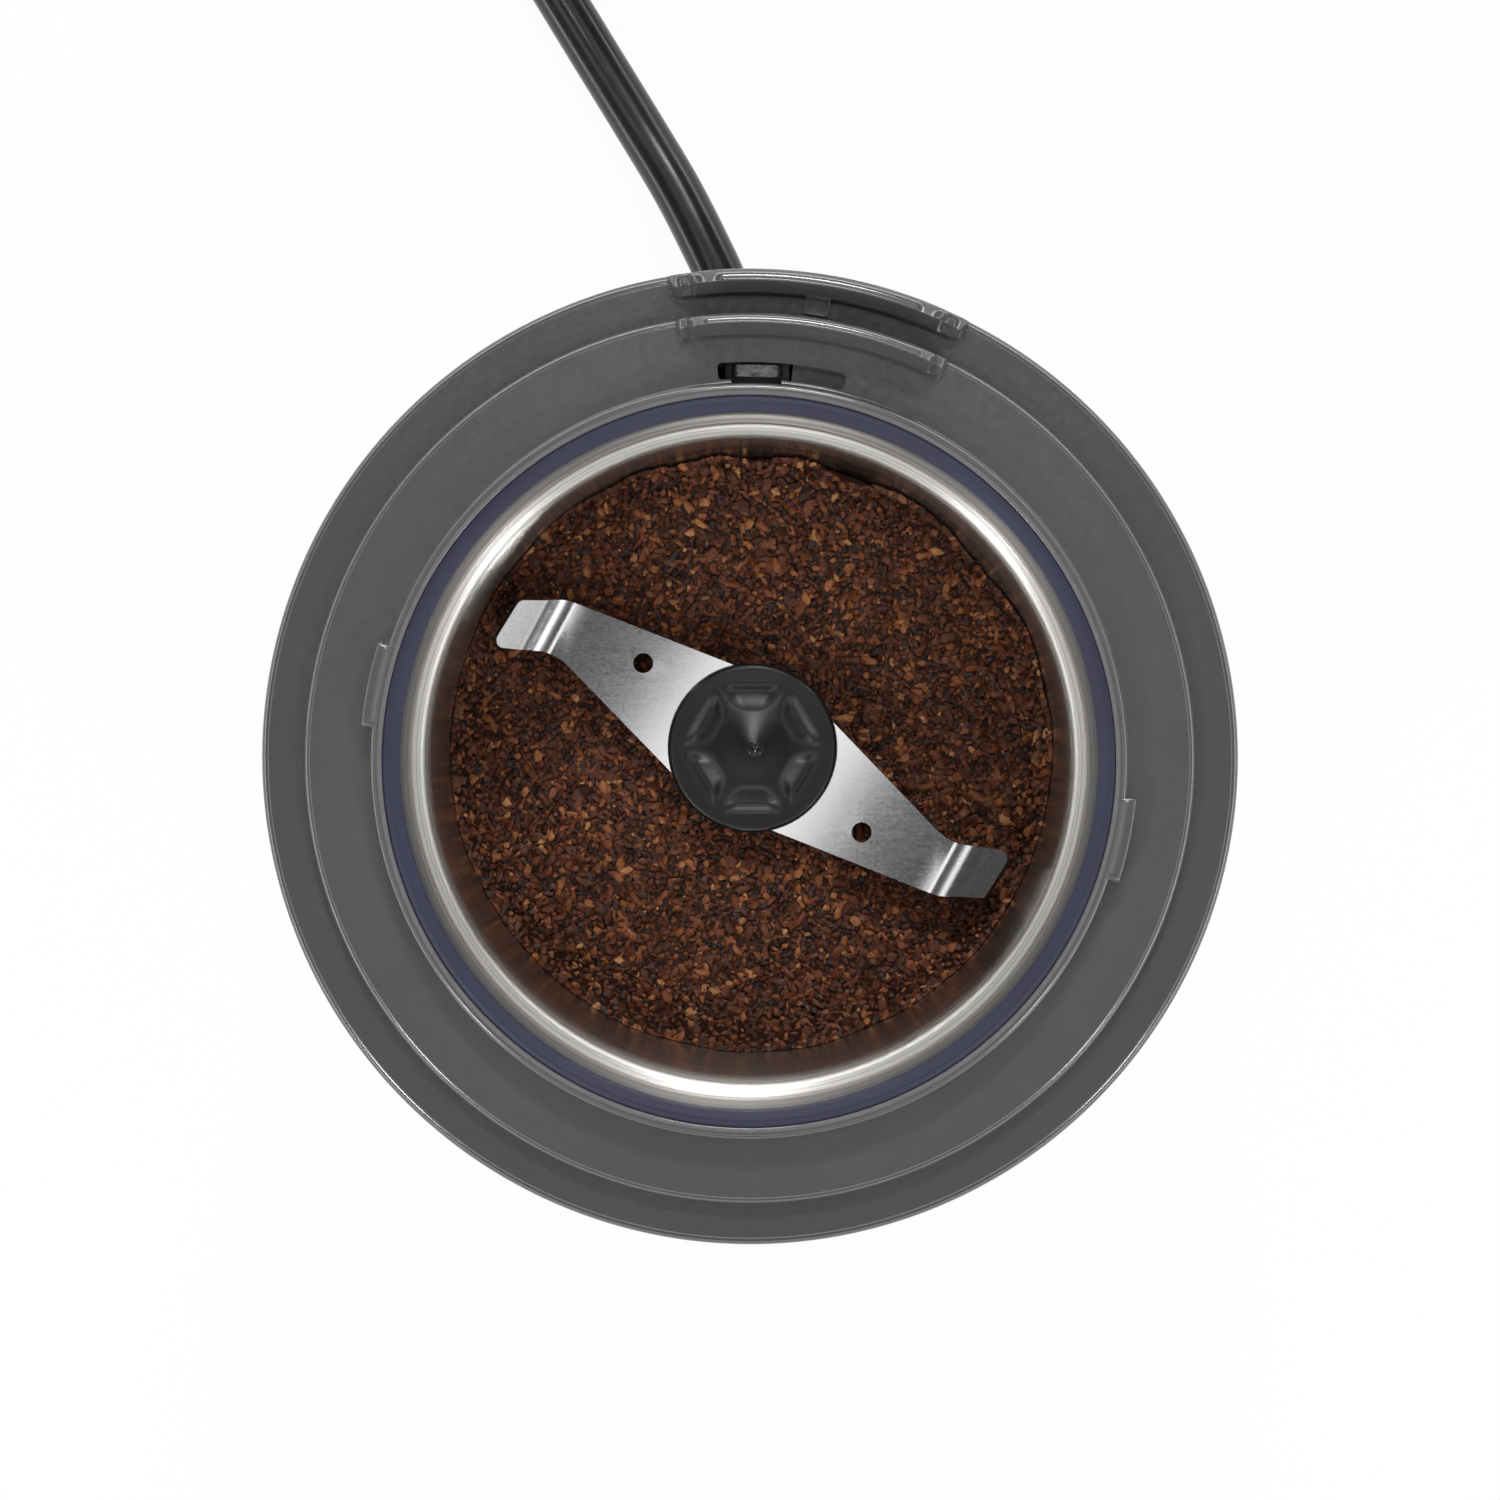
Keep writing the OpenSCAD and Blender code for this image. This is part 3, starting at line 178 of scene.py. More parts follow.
def plasticLook(name, low, high, rough, scale=1400, depth=0.00002, specular=0.5):
    # moulded plastic: a fine spark-eroded skin with a slight mottle
    mat, tree, shader = newLook(name, rough, specular=specular)
    at = objectPlace(tree)
    paint(tree, shader, grain(tree, at, 60, 2), [(0.3, low), (0.7, high)])
    skin = grain(tree, at, scale, 2)
    polish(tree, shader, span(tree, skin, rough - 0.03, rough + 0.03))
    bump(tree, shader, skin, depth, 0.6)
    return mat


def metalLook(name, low, high, rough, scale=900):
    mat, tree, shader = newLook(name, rough, 1.0)
    patch = grain(tree, objectPlace(tree), scale, 4)
    paint(tree, shader, patch, [(0.3, low), (0.7, high)])
    polish(tree, shader, span(tree, patch, rough - 0.06, rough + 0.08))
    bump(tree, shader, patch, 0.00001, 0.5)
    return mat


def bowlLook():
    # pressed steel, polished round the axis: fine rings, with broader bands between them
    mat, tree, shader = newLook("bowlSteel", 0.3, 1.0, aniso=0.94)
    rings, across = ringCoordinates(tree)
    fine = grain(tree, rings, 2600, 3, 0.7)
    broad = grain(tree, rings, 600, 2)
    mixed = sums(tree, "ADD", sums(tree, "MULTIPLY", fine, 0.6), sums(tree, "MULTIPLY", broad, 0.4))
    paint(tree, shader, mixed, [(0.38, (0.3, 0.285, 0.26)), (0.6, (0.84, 0.825, 0.79))])
    height = addNode(tree, "ShaderNodeSeparateXYZ", {0: rings}).outputs["Y"]
    wall = span(tree, height, 0.17, 0.33, 0.108, 0.1145)  # the wall is smoother than the rim
    polish(tree, shader, sums(tree, "ADD", wall, span(tree, mixed, 0.06, -0.06)))
    tree.links.new(across, shader.inputs["Tangent"])
    return mat


def bladeLook():
    # rolled sheet steel, brushed along the blade
    mat, tree, shader = newLook("bladeSteel", 0.28, 1.0)
    at = objectPlace(tree)
    streak = grain(tree, stretched(tree, at, (0, 0, math.radians(25)), (0.06, 1, 1)), 3600, 4, 0.7)
    fleck = grain(tree, at, 3400, 4, 0.7)
    mixed = sums(tree, "ADD", sums(tree, "MULTIPLY", streak, 0.35), sums(tree, "MULTIPLY", fleck, 0.65))
    paint(tree, shader, mixed, [(0.35, (0.54, 0.545, 0.555)), (0.65, (0.69, 0.695, 0.705))])
    polish(tree, shader, span(tree, mixed, 0.09, 0.15))
    return mat


def hubLook():
    # black moulded plastic, polished by use and finely scuffed
    mat, tree, shader = newLook("hubPlastic", 0.3, specular=0.42)
    at = objectPlace(tree)
    reach = addNode(tree, "ShaderNodeSeparateXYZ", {0: ringCoordinates(tree)[0]}).outputs["X"]
    haze = grain(tree, at, 260, 4)
    scuff = grain(tree, at, 2400, 5, 0.75)
    paint(tree, shader, haze, greys([(0.3, 0.005), (0.7, 0.008)]))
    worn = span(tree, reach, 0.2, 0.3, 0.0035, 0.0055)  # smoother near its middle
    polish(tree, shader, sums(tree, "ADD", worn, span(tree, scuff, -0.02, 0.04)))
    bump(tree, shader, scuff, 0.000003, 0.5)
    return mat


def plungerLook():
    # the plunger's top is painted paler than its sides: partly wear by the lid, partly a painted highlight of
    # the light falling on the top
    mat, tree, shader = newLook("plungerPlastic", 0.4)
    at = objectPlace(tree)
    wear = grain(tree, stretched(tree, at, (0, 0, 0), (1, 2, 1)), 1300, 4, 0.7)
    height = addNode(tree, "ShaderNodeSeparateXYZ", {0: at}).outputs["Z"]
    # paler only above the top's edge: wear from the lid, and a painted highlight on the top face
    pale = sums(tree, "MULTIPLY", wear, span(tree, height, 0.1, 1.0, 0.1129, 0.1132))
    paint(tree, shader, pale, greys([(0.1, 0.02), (0.38, 0.1), (0.6, 0.3)]))
    polish(tree, shader, span(tree, wear, 0.5, 0.3))
    bump(tree, shader, wear, 0.00004, 0.6)
    return mat


def spiceLook():
    # each granule carries its own tone; the bed under them is painted darkest, a painted shade between the
    # granules
    mat, tree, shader = newLook("groundSpice", 0.5, specular=0.38)
    at = objectPlace(tree)
    shade = addNode(tree, "ShaderNodeAttribute", attribute_name="shade").outputs["Fac"]
    mottle = sums(tree, "MULTIPLY", sums(tree, "SUBTRACT", grain(tree, at, 2600, 4, 0.7), 0.5), 0.35)
    tone = sums(tree, "ADD", shade, mottle)
    paint(tree, shader, tone, [
        (0.0, (0.01, 0.004, 0.003)), (0.3, (0.048, 0.0145, 0.0065)), (0.6, (0.122, 0.034, 0.0125)),
        (0.8, (0.21, 0.061, 0.02)), (0.92, (0.34, 0.12, 0.037)), (1.0, (0.54, 0.26, 0.1)),
    ])
    polish(tree, shader, span(tree, mottle, 0.36, 0.7, -0.1, 0.1))
    bump(tree, shader, grain(tree, at, 5000, 3), 0.00004, 0.7)
    return mat


def cordLook():
    # smooth soft vinyl
    mat, tree, shader = newLook("cordVinyl", 0.24)
    at = objectPlace(tree)
    paint(tree, shader, grain(tree, at, 90, 2), greys([(0.3, 0.007), (0.7, 0.011)]))
    polish(tree, shader, span(tree, grain(tree, at, 240, 3), 0.2, 0.28))
    return mat


def copperLook():
    # enamelled wire: fine turns that run round the axis
    mat, tree, shader = newLook("copperWire", 0.3, 1.0)
    rings = ringCoordinates(tree)[0]
    turns = addNode(tree, "ShaderNodeTexWave", {
        "Vector": rings, "Scale": 420.0, "Distortion": 1.5, "Detail": 2.0, "Detail Scale": 2.0,
    }, bands_direction="DIAGONAL").outputs["Fac"]
    paint(tree, shader, turns, [(0.1, (0.2, 0.06, 0.025)), (0.6, (0.62, 0.26, 0.12))])
    bump(tree, shader, turns, 0.00012, 0.8)
    return mat


glossy = {"depth": 0.000001, "specular": 0.95}
looks = {
    # the housing and the deck are one grey plastic; the housing's copy is painted darker than the deck's, a
    # painted shade on the lower ledge
    "housing_plastic": plasticLook("housingPlasticPaintedShade", grey(0.066), grey(0.072), 0.15, **glossy),
    "deck_plastic": plasticLook("deckPlastic", grey(0.077), grey(0.083), 0.15, **glossy),
    "bowl_steel": bowlLook(),
    "seal_rubber": plasticLook(
        "sealRubber", (0.016, 0.016, 0.045), (0.021, 0.022, 0.056), 0.38, 700, 0.000001,
    ),
    "base_plastic": plasticLook("basePlastic", grey(0.035), grey(0.045), 0.5),
    "steel": metalLook("screwSteel", grey(0.5), grey(0.62), 0.3),
    "black_rubber": plasticLook("blackRubber", grey(0.018), grey(0.028), 0.7, 500, 0.00004),
    "hub_plastic": hubLook(),
    "blade_steel": bladeLook(),
    "brass": metalLook("brass", (0.7, 0.52, 0.24), (0.8, 0.62, 0.32), 0.3),
    "zinc": metalLook("castZinc", grey(0.5), grey(0.6), 0.45, 500),
    "core_steel": metalLook("coreSteel", grey(0.2), grey(0.3), 0.4, 300),
    "copper": copperLook(),
    "white_plastic": plasticLook("whitePlastic", (0.7, 0.69, 0.64), (0.76, 0.75, 0.7), 0.5),
    "carbon": plasticLook("carbon", grey(0.02), grey(0.04), 0.6),
    "black_plastic": plasticLook("blackPlastic", grey(0.018), grey(0.026), 0.35),
    "red_plastic": plasticLook("redPlastic", (0.5, 0.03, 0.02), (0.56, 0.04, 0.03), 0.4),
    "cord_rubber": cordLook(),
    "wire_plastic": plasticLook("wirePlastic", (0.3, 0.1, 0.05), (0.36, 0.14, 0.07), 0.4),
    "tie_plastic": plasticLook("tiePlastic", grey(0.6), grey(0.66), 0.4),
}

for part in frame["record"]["subparts"]:
    data = nodes[part["node"]].data
    data.materials.clear()
    data.materials.append(looks[part["material_slot"]])
print("materials done")

studio = {
    # the room's brightness from the horizon up to straight above, with a low and a high ring light:
    # the sine of the height's angle, and the strength there
    "room": [
        (0.0, 1.0), (0.11, 1.0), (0.14, 6.0), (0.24, 6.0), (0.27, 0.3), (0.4, 0.14), (0.8, 0.14), (0.86, 1.8),
        (0.9, 1.8), (0.945, 0.3), (0.97, 0.14), (1.0, 0.1),
    ],
    # and the factor on it from the front to the back
    "sides": [(0.0, 0.4), (0.25, 1.3), (0.75, 0.5), (1.0, 1.6)],
    "boxes": [
        # name, place, size, power
        ("backBox", (0.05, 0.89, 1.0), (0.36, 0.17), 5.6),
        ("leftBox", (-0.63, -0.63, 1.0), (0.16, 0.16), 2.7),
        ("rightBox", (0.63, -0.63, 1.0), (0.16, 0.16), 2.1),
        ("sideBox", (1.04, -0.565, 0.66), (0.45, 0.3), 0.3),
        ("panelOverBlade", (-0.02, -0.07, 1.41), (0.155, 0.155), 0.12),
        ("panelOverHub", (0.0, 0.27, 1.38), (0.14, 0.12), 0.8),
    ],
}


def seenDirectly(tree):
    # 1 where the eye, a mirror or glass looks at the background
    path = addNode(tree, "ShaderNodeLightPath")
    eye = sums(tree, "MAXIMUM", path.outputs["Is Camera Ray"], path.outputs["Is Glossy Ray"])
    return sums(tree, "MAXIMUM", eye, path.outputs["Is Transmission Ray"])


def makeFloor():
    mesh = bmesh.new()
    bmesh.ops.create_grid(mesh, x_segments=1, y_segments=1, size=3)
    data = bpy.data.meshes.new("floor")
    mesh.to_mesh(data)
    mesh.free()
    obj = intoScene("floor", data)
    obj.location.z = -0.2 * mm  # just below what stands on it
    mat, tree, shader = newLook("floorPaper", 0.9, specular=0.1)
    paint(tree, shader, grain(tree, objectPlace(tree), 4), greys([(0, 0.88), (1, 0.92)]))
    glow = addNode(tree, "ShaderNodeEmission", {"Color": (1, 1, 1, 1), "Strength": 1.0})
    share = sums(tree, "MULTIPLY", seenDirectly(tree), 0.95)  # the rest keeps the object's shadow
    mix = addNode(tree, "ShaderNodeMixShader", {"Fac": share, 1: shader.outputs[0], 2: glow.outputs[0]})
    tree.links.new(mix.outputs[0], tree.nodes["Material Output"].inputs["Surface"])
    data.materials.append(mat)


def addSoftbox(name, place, size, power):
    data = bpy.data.lights.new(name, "AREA")
    data.shape = "RECTANGLE"
    data.size, data.size_y = size
    data.energy = power
    obj = intoScene(name, data)
    obj.visible_camera = False
    way = Vector((0, 0, 0.1)) - Vector(place)  # each box looks at the bowl
    obj.matrix_world = Matrix.Translation(place) @ way.to_track_quat("-Z", "Y").to_matrix().to_4x4()


def makeLight(spec):
    world = bpy.data.worlds.new("studio")
    bpy.context.scene.world = world
    world.use_nodes = True
    tree = world.node_tree
    back = tree.nodes["Background"]
    way = addNode(tree, "ShaderNodeTexCoord").outputs["Generated"]
    parts = addNode(tree, "ShaderNodeSeparateXYZ", {0: way}).outputs
    height = ramp(tree, parts["Z"], greys(spec["room"]))
    sides = ramp(tree, span(tree, parts["Y"], 0, 1, -1, 1), greys(spec["sides"]))
    room = addNode(
        tree, "ShaderNodeMix", {"Factor": 1.0, 6: height, 7: sides}, data_type="RGBA", blend_type="MULTIPLY",
    ).outputs[2]
    eye = addNode(tree, "ShaderNodeLightPath").outputs["Is Camera Ray"]
    seen = addNode(tree, "ShaderNodeMix", {"Factor": eye, 6: room, 7: (1, 1, 1, 1)}, data_type="RGBA")
    tree.links.new(seen.outputs[2], back.inputs["Color"])
    for box in spec["boxes"]:
        addSoftbox(*box)


makeFloor()
makeLight(studio)
bpy.context.scene.view_settings.view_transform = "Standard"
print("floor and light done")


def link(name, data, body, look):
    obj = intoScene(name, data)
    data.materials.append(look)
    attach(obj, body)
    return obj


def polar(radius, degrees):
    return Vector((radius * math.cos(math.radians(degrees)), radius * math.sin(math.radians(degrees))))


def roundLine(points, steps=6, closed=False):
    # a line through (x, y, radius) corners, with each corner rounded by its radius
    out = []
    for i, (x, y, radius) in enumerate(points):
        here = Vector((x, y))
        if radius == 0 or not closed and i in (0, len(points) - 1):
            out.append(here)
            continue
        u = (Vector(points[i - 1][:2]) - here).normalized()
        v = (Vector(points[(i + 1) % len(points)][:2]) - here).normalized()
        half = u.angle(v) / 2
        middle = here + (u + v).normalized() * radius / math.sin(half)
        a = here + u * radius / math.tan(half) - middle
        b = here + v * radius / math.tan(half) - middle
        turn = a.angle_signed(b)
        for k in range(steps + 1):
            out.append(middle + Matrix.Rotation(-turn * k / steps, 2) @ a)
    return out


def lathe(line, steps=300, angle=360, closed=True):
    # spins a line of (radius, height) points round the Z axis
    mesh = bmesh.new()
    verts = [mesh.verts.new((p[0], 0, p[1])) for p in line]
    pairs = list(zip(verts, verts[1:])) + ([(verts[-1], verts[0])] if closed else [])
    edges = [mesh.edges.new(pair) for pair in pairs]
    bmesh.ops.spin(
        mesh, geom=verts + edges, cent=(0, 0, 0), axis=(0, 0, 1), angle=math.radians(angle),
        steps=steps, use_merge=angle == 360,
    )
    bmesh.ops.remove_doubles(mesh, verts=mesh.verts, dist=0.0005)
    return mesh


def turned(mesh, degrees, axis="Z"):
    turn = Matrix.Rotation(math.radians(degrees), 3, axis)
    bmesh.ops.rotate(mesh, verts=mesh.verts, cent=(0, 0, 0), matrix=turn)
    return mesh


def moved(mesh, x, y, z):
    bmesh.ops.translate(mesh, verts=mesh.verts, vec=(x, y, z))
    return mesh


def rounded(mesh, offset, segments=3, chosen=None):
    # rounds the sharp edges, or those of them that are chosen
    bmesh.ops.recalc_face_normals(mesh, faces=mesh.faces)
    edges = [e for e in mesh.edges if len(e.link_faces) == 2 and e.calc_face_angle(0) > 0.6]
    edges = [e for e in edges if chosen is None or chosen(e)]
    bmesh.ops.bevel(
        mesh, geom=edges, offset=offset, segments=segments, profile=0.5, affect="EDGES", material=-1,
        clamp_overlap=True,
    )
    return mesh


def uprightEdge(edge):
    a, b = edge.verts
    return (a.co.xy - b.co.xy).length < 0.001


def arcBlock(inner, outer, low, high, start, end):
    # a block bent round the Z axis
    line = [(inner, low), (outer, low), (outer, high), (inner, high)]
    mesh = lathe(line, max(2, int(end - start)), end - start)
    bmesh.ops.holes_fill(mesh, edges=mesh.edges, sides=0)
    return turned(mesh, start)


def block(x, y, z, offset=0.0):
    mesh = bmesh.new()
    bmesh.ops.create_cube(mesh, size=1)
    bmesh.ops.scale(mesh, verts=mesh.verts, vec=(x, y, z))
    return rounded(mesh, offset, 2) if offset else mesh


def post(at, low, high, radius, bore, boreTop):
    # an upright boss with a screw hole in its lower end
    line = [(bore, low), (radius, low), (radius, high), (0, high), (0, boreTop), (bore, boreTop)]
    return moved(lathe(line, 32), at[0], at[1], 0)


def inOrder(mesh):
    # the same faces made anew in a fixed order, because some operators' results depend on the order
    spots = {vert: tuple(round(c, 5) for c in vert.co) for vert in mesh.verts}
    rings = []
    for face in mesh.faces:
        ring = [spots[vert] for vert in face.verts]
        first = ring.index(min(ring))
        rings.append(ring[first:] + ring[:first])
    out = bmesh.new()
    made = {spot: out.verts.new(spot) for spot in sorted(spots.values())}
    for ring in sorted(rings):
        out.faces.new([made[spot] for spot in ring])
    out.normal_update()
    mesh.free()
    return out


def toData(mesh):
    # from millimetres to a mesh in metres
    bmesh.ops.recalc_face_normals(mesh, faces=mesh.faces)
    bmesh.ops.scale(mesh, verts=mesh.verts, vec=(mm, mm, mm))
    data = bpy.data.meshes.new("work")
    mesh.to_mesh(data)
    mesh.free()
    return data


def carve(data, *cutters):
    # takes the cutters' shapes out of the mesh
    obj = intoScene("work", data)
    for cutter in cutters:
        tool = intoScene("tool", toData(cutter))
        change = obj.modifiers.new("carve", "BOOLEAN")
        change.operation = "DIFFERENCE"
        change.solver = "EXACT"
        change.object = tool
        done = bpy.data.meshes.new_from_object(obj.evaluated_get(bpy.context.evaluated_depsgraph_get()))
        obj.modifiers.clear()
        obj.data = done
        bpy.data.objects.remove(tool)
    done = obj.data
    bpy.data.objects.remove(obj)
    return done


def joined(datas):
    mesh = bmesh.new()
    for data in datas:
        mesh.from_mesh(data)
    out = bpy.data.meshes.new("joined")
    mesh.to_mesh(out)
    mesh.free()
    return out


def showPiece(name, data, body, slot, stands=(), sharp=35, weighted=True):
    data.name = name
    data.shade_smooth()
    data.set_sharp_from_angle(angle=math.radians(sharp))
    obj = link(name, data, body, looks[slot])
    if weighted:
        change = obj.modifiers.new("normals", "WEIGHTED_NORMAL")
        change.keep_sharp = True
        change.weight = 80
    if stands:
        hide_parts(*stands)
    return obj


housing = {
    "footRadius": 46.0,
    "taper": 5.0,
    "ledgeRadius": 51.0,
    "ledgeZ": 112.0,
    "lowZ": 2.4,
    "wall": 2.2,
    "edge": 0.9,
    "seatRadius": 46.42,
    "seatZ": 110.4,
    "seatWidth": 2.4,  # how far it reaches under the deck
    "exit": (94.5, 8.6, 4.3),  # direction, height and radius of the lead's hole
    "bosses": (0, 180, 270),
    "bossReach": 39.0,
    "bossZ": 8.1,
    "bossHeight": 22,
    "bossRadius": 3.6,
    "bossBore": (1.55, 16),  # radius and depth
    "rib": (2.5, 2.7, 1.3),
    "ribReach": 47.9,
}
deck = {
    "radius": 46.4,
    "z": 114.0,
    "edge": 0.75,
    "collarRadius": 39.2,
    "collarInner": 38.0,
    "collarZ": 117.5,
    "shelfZ": 114.9,
    "underZ": 111.8,
    "skirt": 1.6,
    "shelf": (2.1, 2.4),  # width and thickness
    "slot": (39.65, 41.4, 75.8, 94.6),  # inner and outer radius, and the angles of its ends
    "slotFloorTo": 83.7,  # the slot has a floor up to this angle
    "plungerAngle": 88.9,
    "notchSpan": 3.8,
    "lugs": (162, 342),
    "lugSpan": 12.7,
    "legs": (30, 150, 270),
    "legReach": 40.6,
    "legZ": 75.9,
    "legRadius": 3,
    "legBore": (1.55, 12),
    "bracketPost": (12, 2.3, 1.15),  # distance to the side of the plunger, radius and bore
}
lips = {
    "angle": 81.5,
    "nose": (0.4, 0.26),  # its shares of the height and of the ramp
    "noseEnd": 0.25,  # share of the width that is left at its end
    "facets": [(0.36, 0.14), (0.5, 0.45)],  # where each starts and how long it is, as shares of the ramp
    "facetRise": 0.3,
    "outer": {"radius": 51.0, "base": 112.0, "width": 2.45, "whole": 36.3, "full": 22.6},
    "inner": {"radius": 46.4, "base": 114.0, "width": 2.35, "whole": 36.1, "full": 27.6},
}


def sideRadius(z):
    rest = (housing["ledgeZ"] - z) / (housing["ledgeZ"] - housing["lowZ"])
    return housing["footRadius"] + housing["taper"] * (1 - rest * rest)


def softStep(part):
    part = min(1, max(0, part))
    return part * part * (3 - 2 * part)


def makeLip(spec, section):
    # the section is spun, then both ends come down over two facets to a round nose
    line = roundLine([(spec["radius"] - x, spec["base"] + z, r) for x, z, r in section], 5)
    mesh = lathe(line, 140, spec["whole"])
    bmesh.ops.holes_fill(mesh, edges=mesh.edges, sides=0)
    turned(mesh, lips["angle"] - spec["whole"] / 2)
    noseHeight, noseLength = lips["nose"]
    for vert in mesh.verts:
        angle = math.degrees(math.atan2(vert.co.y, vert.co.x)) - lips["angle"]
        part = min(1, max(0, (spec["whole"] / 2 - abs(angle)) / ((spec["whole"] - spec["full"]) / 2)))
        nose = min(1, part / noseLength)
        roundness = math.sqrt(max(0, 1 - (1 - nose) ** 2))
        level = noseHeight * roundness
        for start, length in lips["facets"]:
            level += lips["facetRise"] * softStep((part - start) / length)
        if vert.co.z > spec["base"]:
            vert.co.z = spec["base"] + (vert.co.z - spec["base"]) * level
        reach = vert.co.xy.length
        if nose < 1 and reach < spec["radius"] - 0.01:  # the nose narrows to a round end
            middle = spec["radius"] - spec["width"] / 2
            wanted = middle + (reach - middle) * (lips["noseEnd"] + (1 - lips["noseEnd"]) * roundness)
            vert.co.xy = vert.co.xy * (wanted / reach)
    return toData(mesh)


def makeHousing(spec):
    edge, low, high = spec["edge"], spec["lowZ"] + spec["edge"], spec["ledgeZ"] - spec["edge"]
    side = [(sideRadius(low + (high - low) * i / 28), low + (high - low) * i / 28) for i in range(29)]
    top = [Vector((spec["ledgeRadius"] - edge, high)) + polar(edge, a) for a in range(10, 91, 10)]
    foot = [Vector((sideRadius(low) - edge, low)) + polar(edge, a) for a in (-90, -60, -30)]
    seatInner = deck["radius"] - spec["seatWidth"]
    inner = [(x - spec["wall"], z) for x, z in reversed(side) if z < spec["seatZ"] - spec["wall"]]
    line = [(inner[-1][0], spec["lowZ"])] + foot + side + top
    line += [(spec["seatRadius"], spec["ledgeZ"]), (spec["seatRadius"], spec["seatZ"])]
    line += [(seatInner, spec["seatZ"]), (seatInner, spec["seatZ"] - spec["wall"])] + inner
    angle, exitZ, exitRadius = spec["exit"]
    hole = bmesh.new()
    bmesh.ops.create_cone(hole, cap_ends=True, segments=64, radius1=exitRadius, radius2=exitRadius, depth=20)
    turned(moved(turned(hole, 90, "Y"), spec["footRadius"], 0, exitZ), angle)
    parts = [carve(toData(lathe(line)), hole)]
    parts.append(makeLip(lips["outer"], [
        (0, -1, 0), (0, 6.0, 1.04), (1.2, 6.0, 0.13), (2.35, 3.6, 0.5), (2.45, 0.3, 0.25),
        (2.75, -0.05, 0.15), (2.75, -1, 0),
    ]))
    rib = moved(block(*spec["rib"], 0.2), spec["ribReach"], 0, spec["ledgeZ"] + 0.15)
    parts.append(toData(turned(rib, lips["angle"])))
    low, tall = spec["bossZ"], spec["bossHeight"]
    bore, boreDepth = spec["bossBore"]
    for a in spec["bosses"]:
        at = polar(spec["bossReach"], a)
        parts.append(toData(post(at, low, low + tall, spec["bossRadius"], bore, low + boreDepth)))
        web = moved(block(4, 2, tall), spec["bossReach"] + 4.6, 0, low + tall / 2)
        parts.append(toData(turned(web, a)))
    showPiece("housingBody", joined(parts), "housing", "housing_plastic", ["housing"])


def makeDeck(spec):
    outer, inner, low = spec["collarRadius"], spec["collarInner"], spec["underZ"]
    width, thickness = spec["shelf"]
    skirtInner = spec["radius"] - spec["skirt"]
    line = roundLine([
        (skirtInner, housing["seatZ"], 0), (spec["radius"], housing["seatZ"], 0),
        (spec["radius"], spec["z"], spec["edge"]), (outer, spec["z"], 0.25), (outer, spec["collarZ"], 0.5),
        (inner, spec["collarZ"], 0.12), (inner, spec["shelfZ"], 0), (inner - width, spec["shelfZ"], 0),
        (inner - width, spec["shelfZ"] - thickness, 0), (outer, spec["shelfZ"] - thickness, 0),
        (outer, low, 0), (skirtInner, low, 0),
    ], 6)
    slotInner, slotOuter, slotFrom, slotTo = spec["slot"]
    top = spec["z"] + 1
    slot = rounded(arcBlock(slotInner, slotOuter, low - 1, top, slotFrom, slotTo), 0.45, 4, uprightEdge)
    middle, half = spec["plungerAngle"], spec["notchSpan"]
    notch = arcBlock(slotInner - 0.42, slotOuter - 0.1, low - 1, top, middle - half, middle + half)
    parts = [carve(toData(lathe(line)), slot, notch)]
    parts.append(makeLip(lips["inner"], [
        (0, -1, 0), (0, 4.6, 0.8), (0.95, 4.6, 0.13), (2.05, 2.5, 0.5), (2.3, 0.25, 0.2),
        (2.6, -0.05, 0.15), (2.6, -1, 0),
    ]))
    slotFloor = arcBlock(
        slotInner - 0.4, slotOuter + 0.4, low - 1.6, low - 0.9, slotFrom - 0.8, spec["slotFloorTo"],
    )
    parts.append(toData(slotFloor))
    lugInner, lugOuter, lugTop = outer - 0.5, outer + 1.1, spec["collarZ"]
    for start in spec["lugs"]:
        tab = arcBlock(lugInner, lugOuter, lugTop - 1.9, lugTop, start, start + spec["lugSpan"])
        stop = arcBlock(lugInner, lugOuter, spec["z"] - 0.2, lugTop - 0.05, start, start + 1.1)
        parts += [toData(rounded(tab, 0.3)), toData(rounded(stop, 0.2))]
    bore, boreDepth = spec["legBore"]
    for a in spec["legs"]:
        leg = post(
            polar(spec["legReach"], a), spec["legZ"], low + 0.4, spec["legRadius"], bore,
            spec["legZ"] + boreDepth,
        )
        web = moved(block(1.6, 12, 14.4), spec["legReach"], 0, low - 6.8)
        parts += [toData(leg), toData(turned(web, a))]
    aside, radius, bore = spec["bracketPost"]
    for x in (-aside, aside):
        at = Matrix.Rotation(math.radians(spec["plungerAngle"] - 90), 2) @ Vector((x, outer - 0.7))
        parts.append(toData(post(at, low - 3.8, low + 0.4, radius, bore, low)))
    showPiece("deckTop", joined(parts), "housing", "deck_plastic", ["top_deck"])


plunger = {
    "reach": 40.5,
    "top": 113.3,
    "width": 5.3,
    "thickness": 1.3,
    "chamfer": 0.7,
    "shoulder": (6.8, 3.7, 2.0, 111.6),  # width, depth, height and top
    "rod": 1.5,
    "rodEdge": 0.2,
    "rodTop": 110,
}


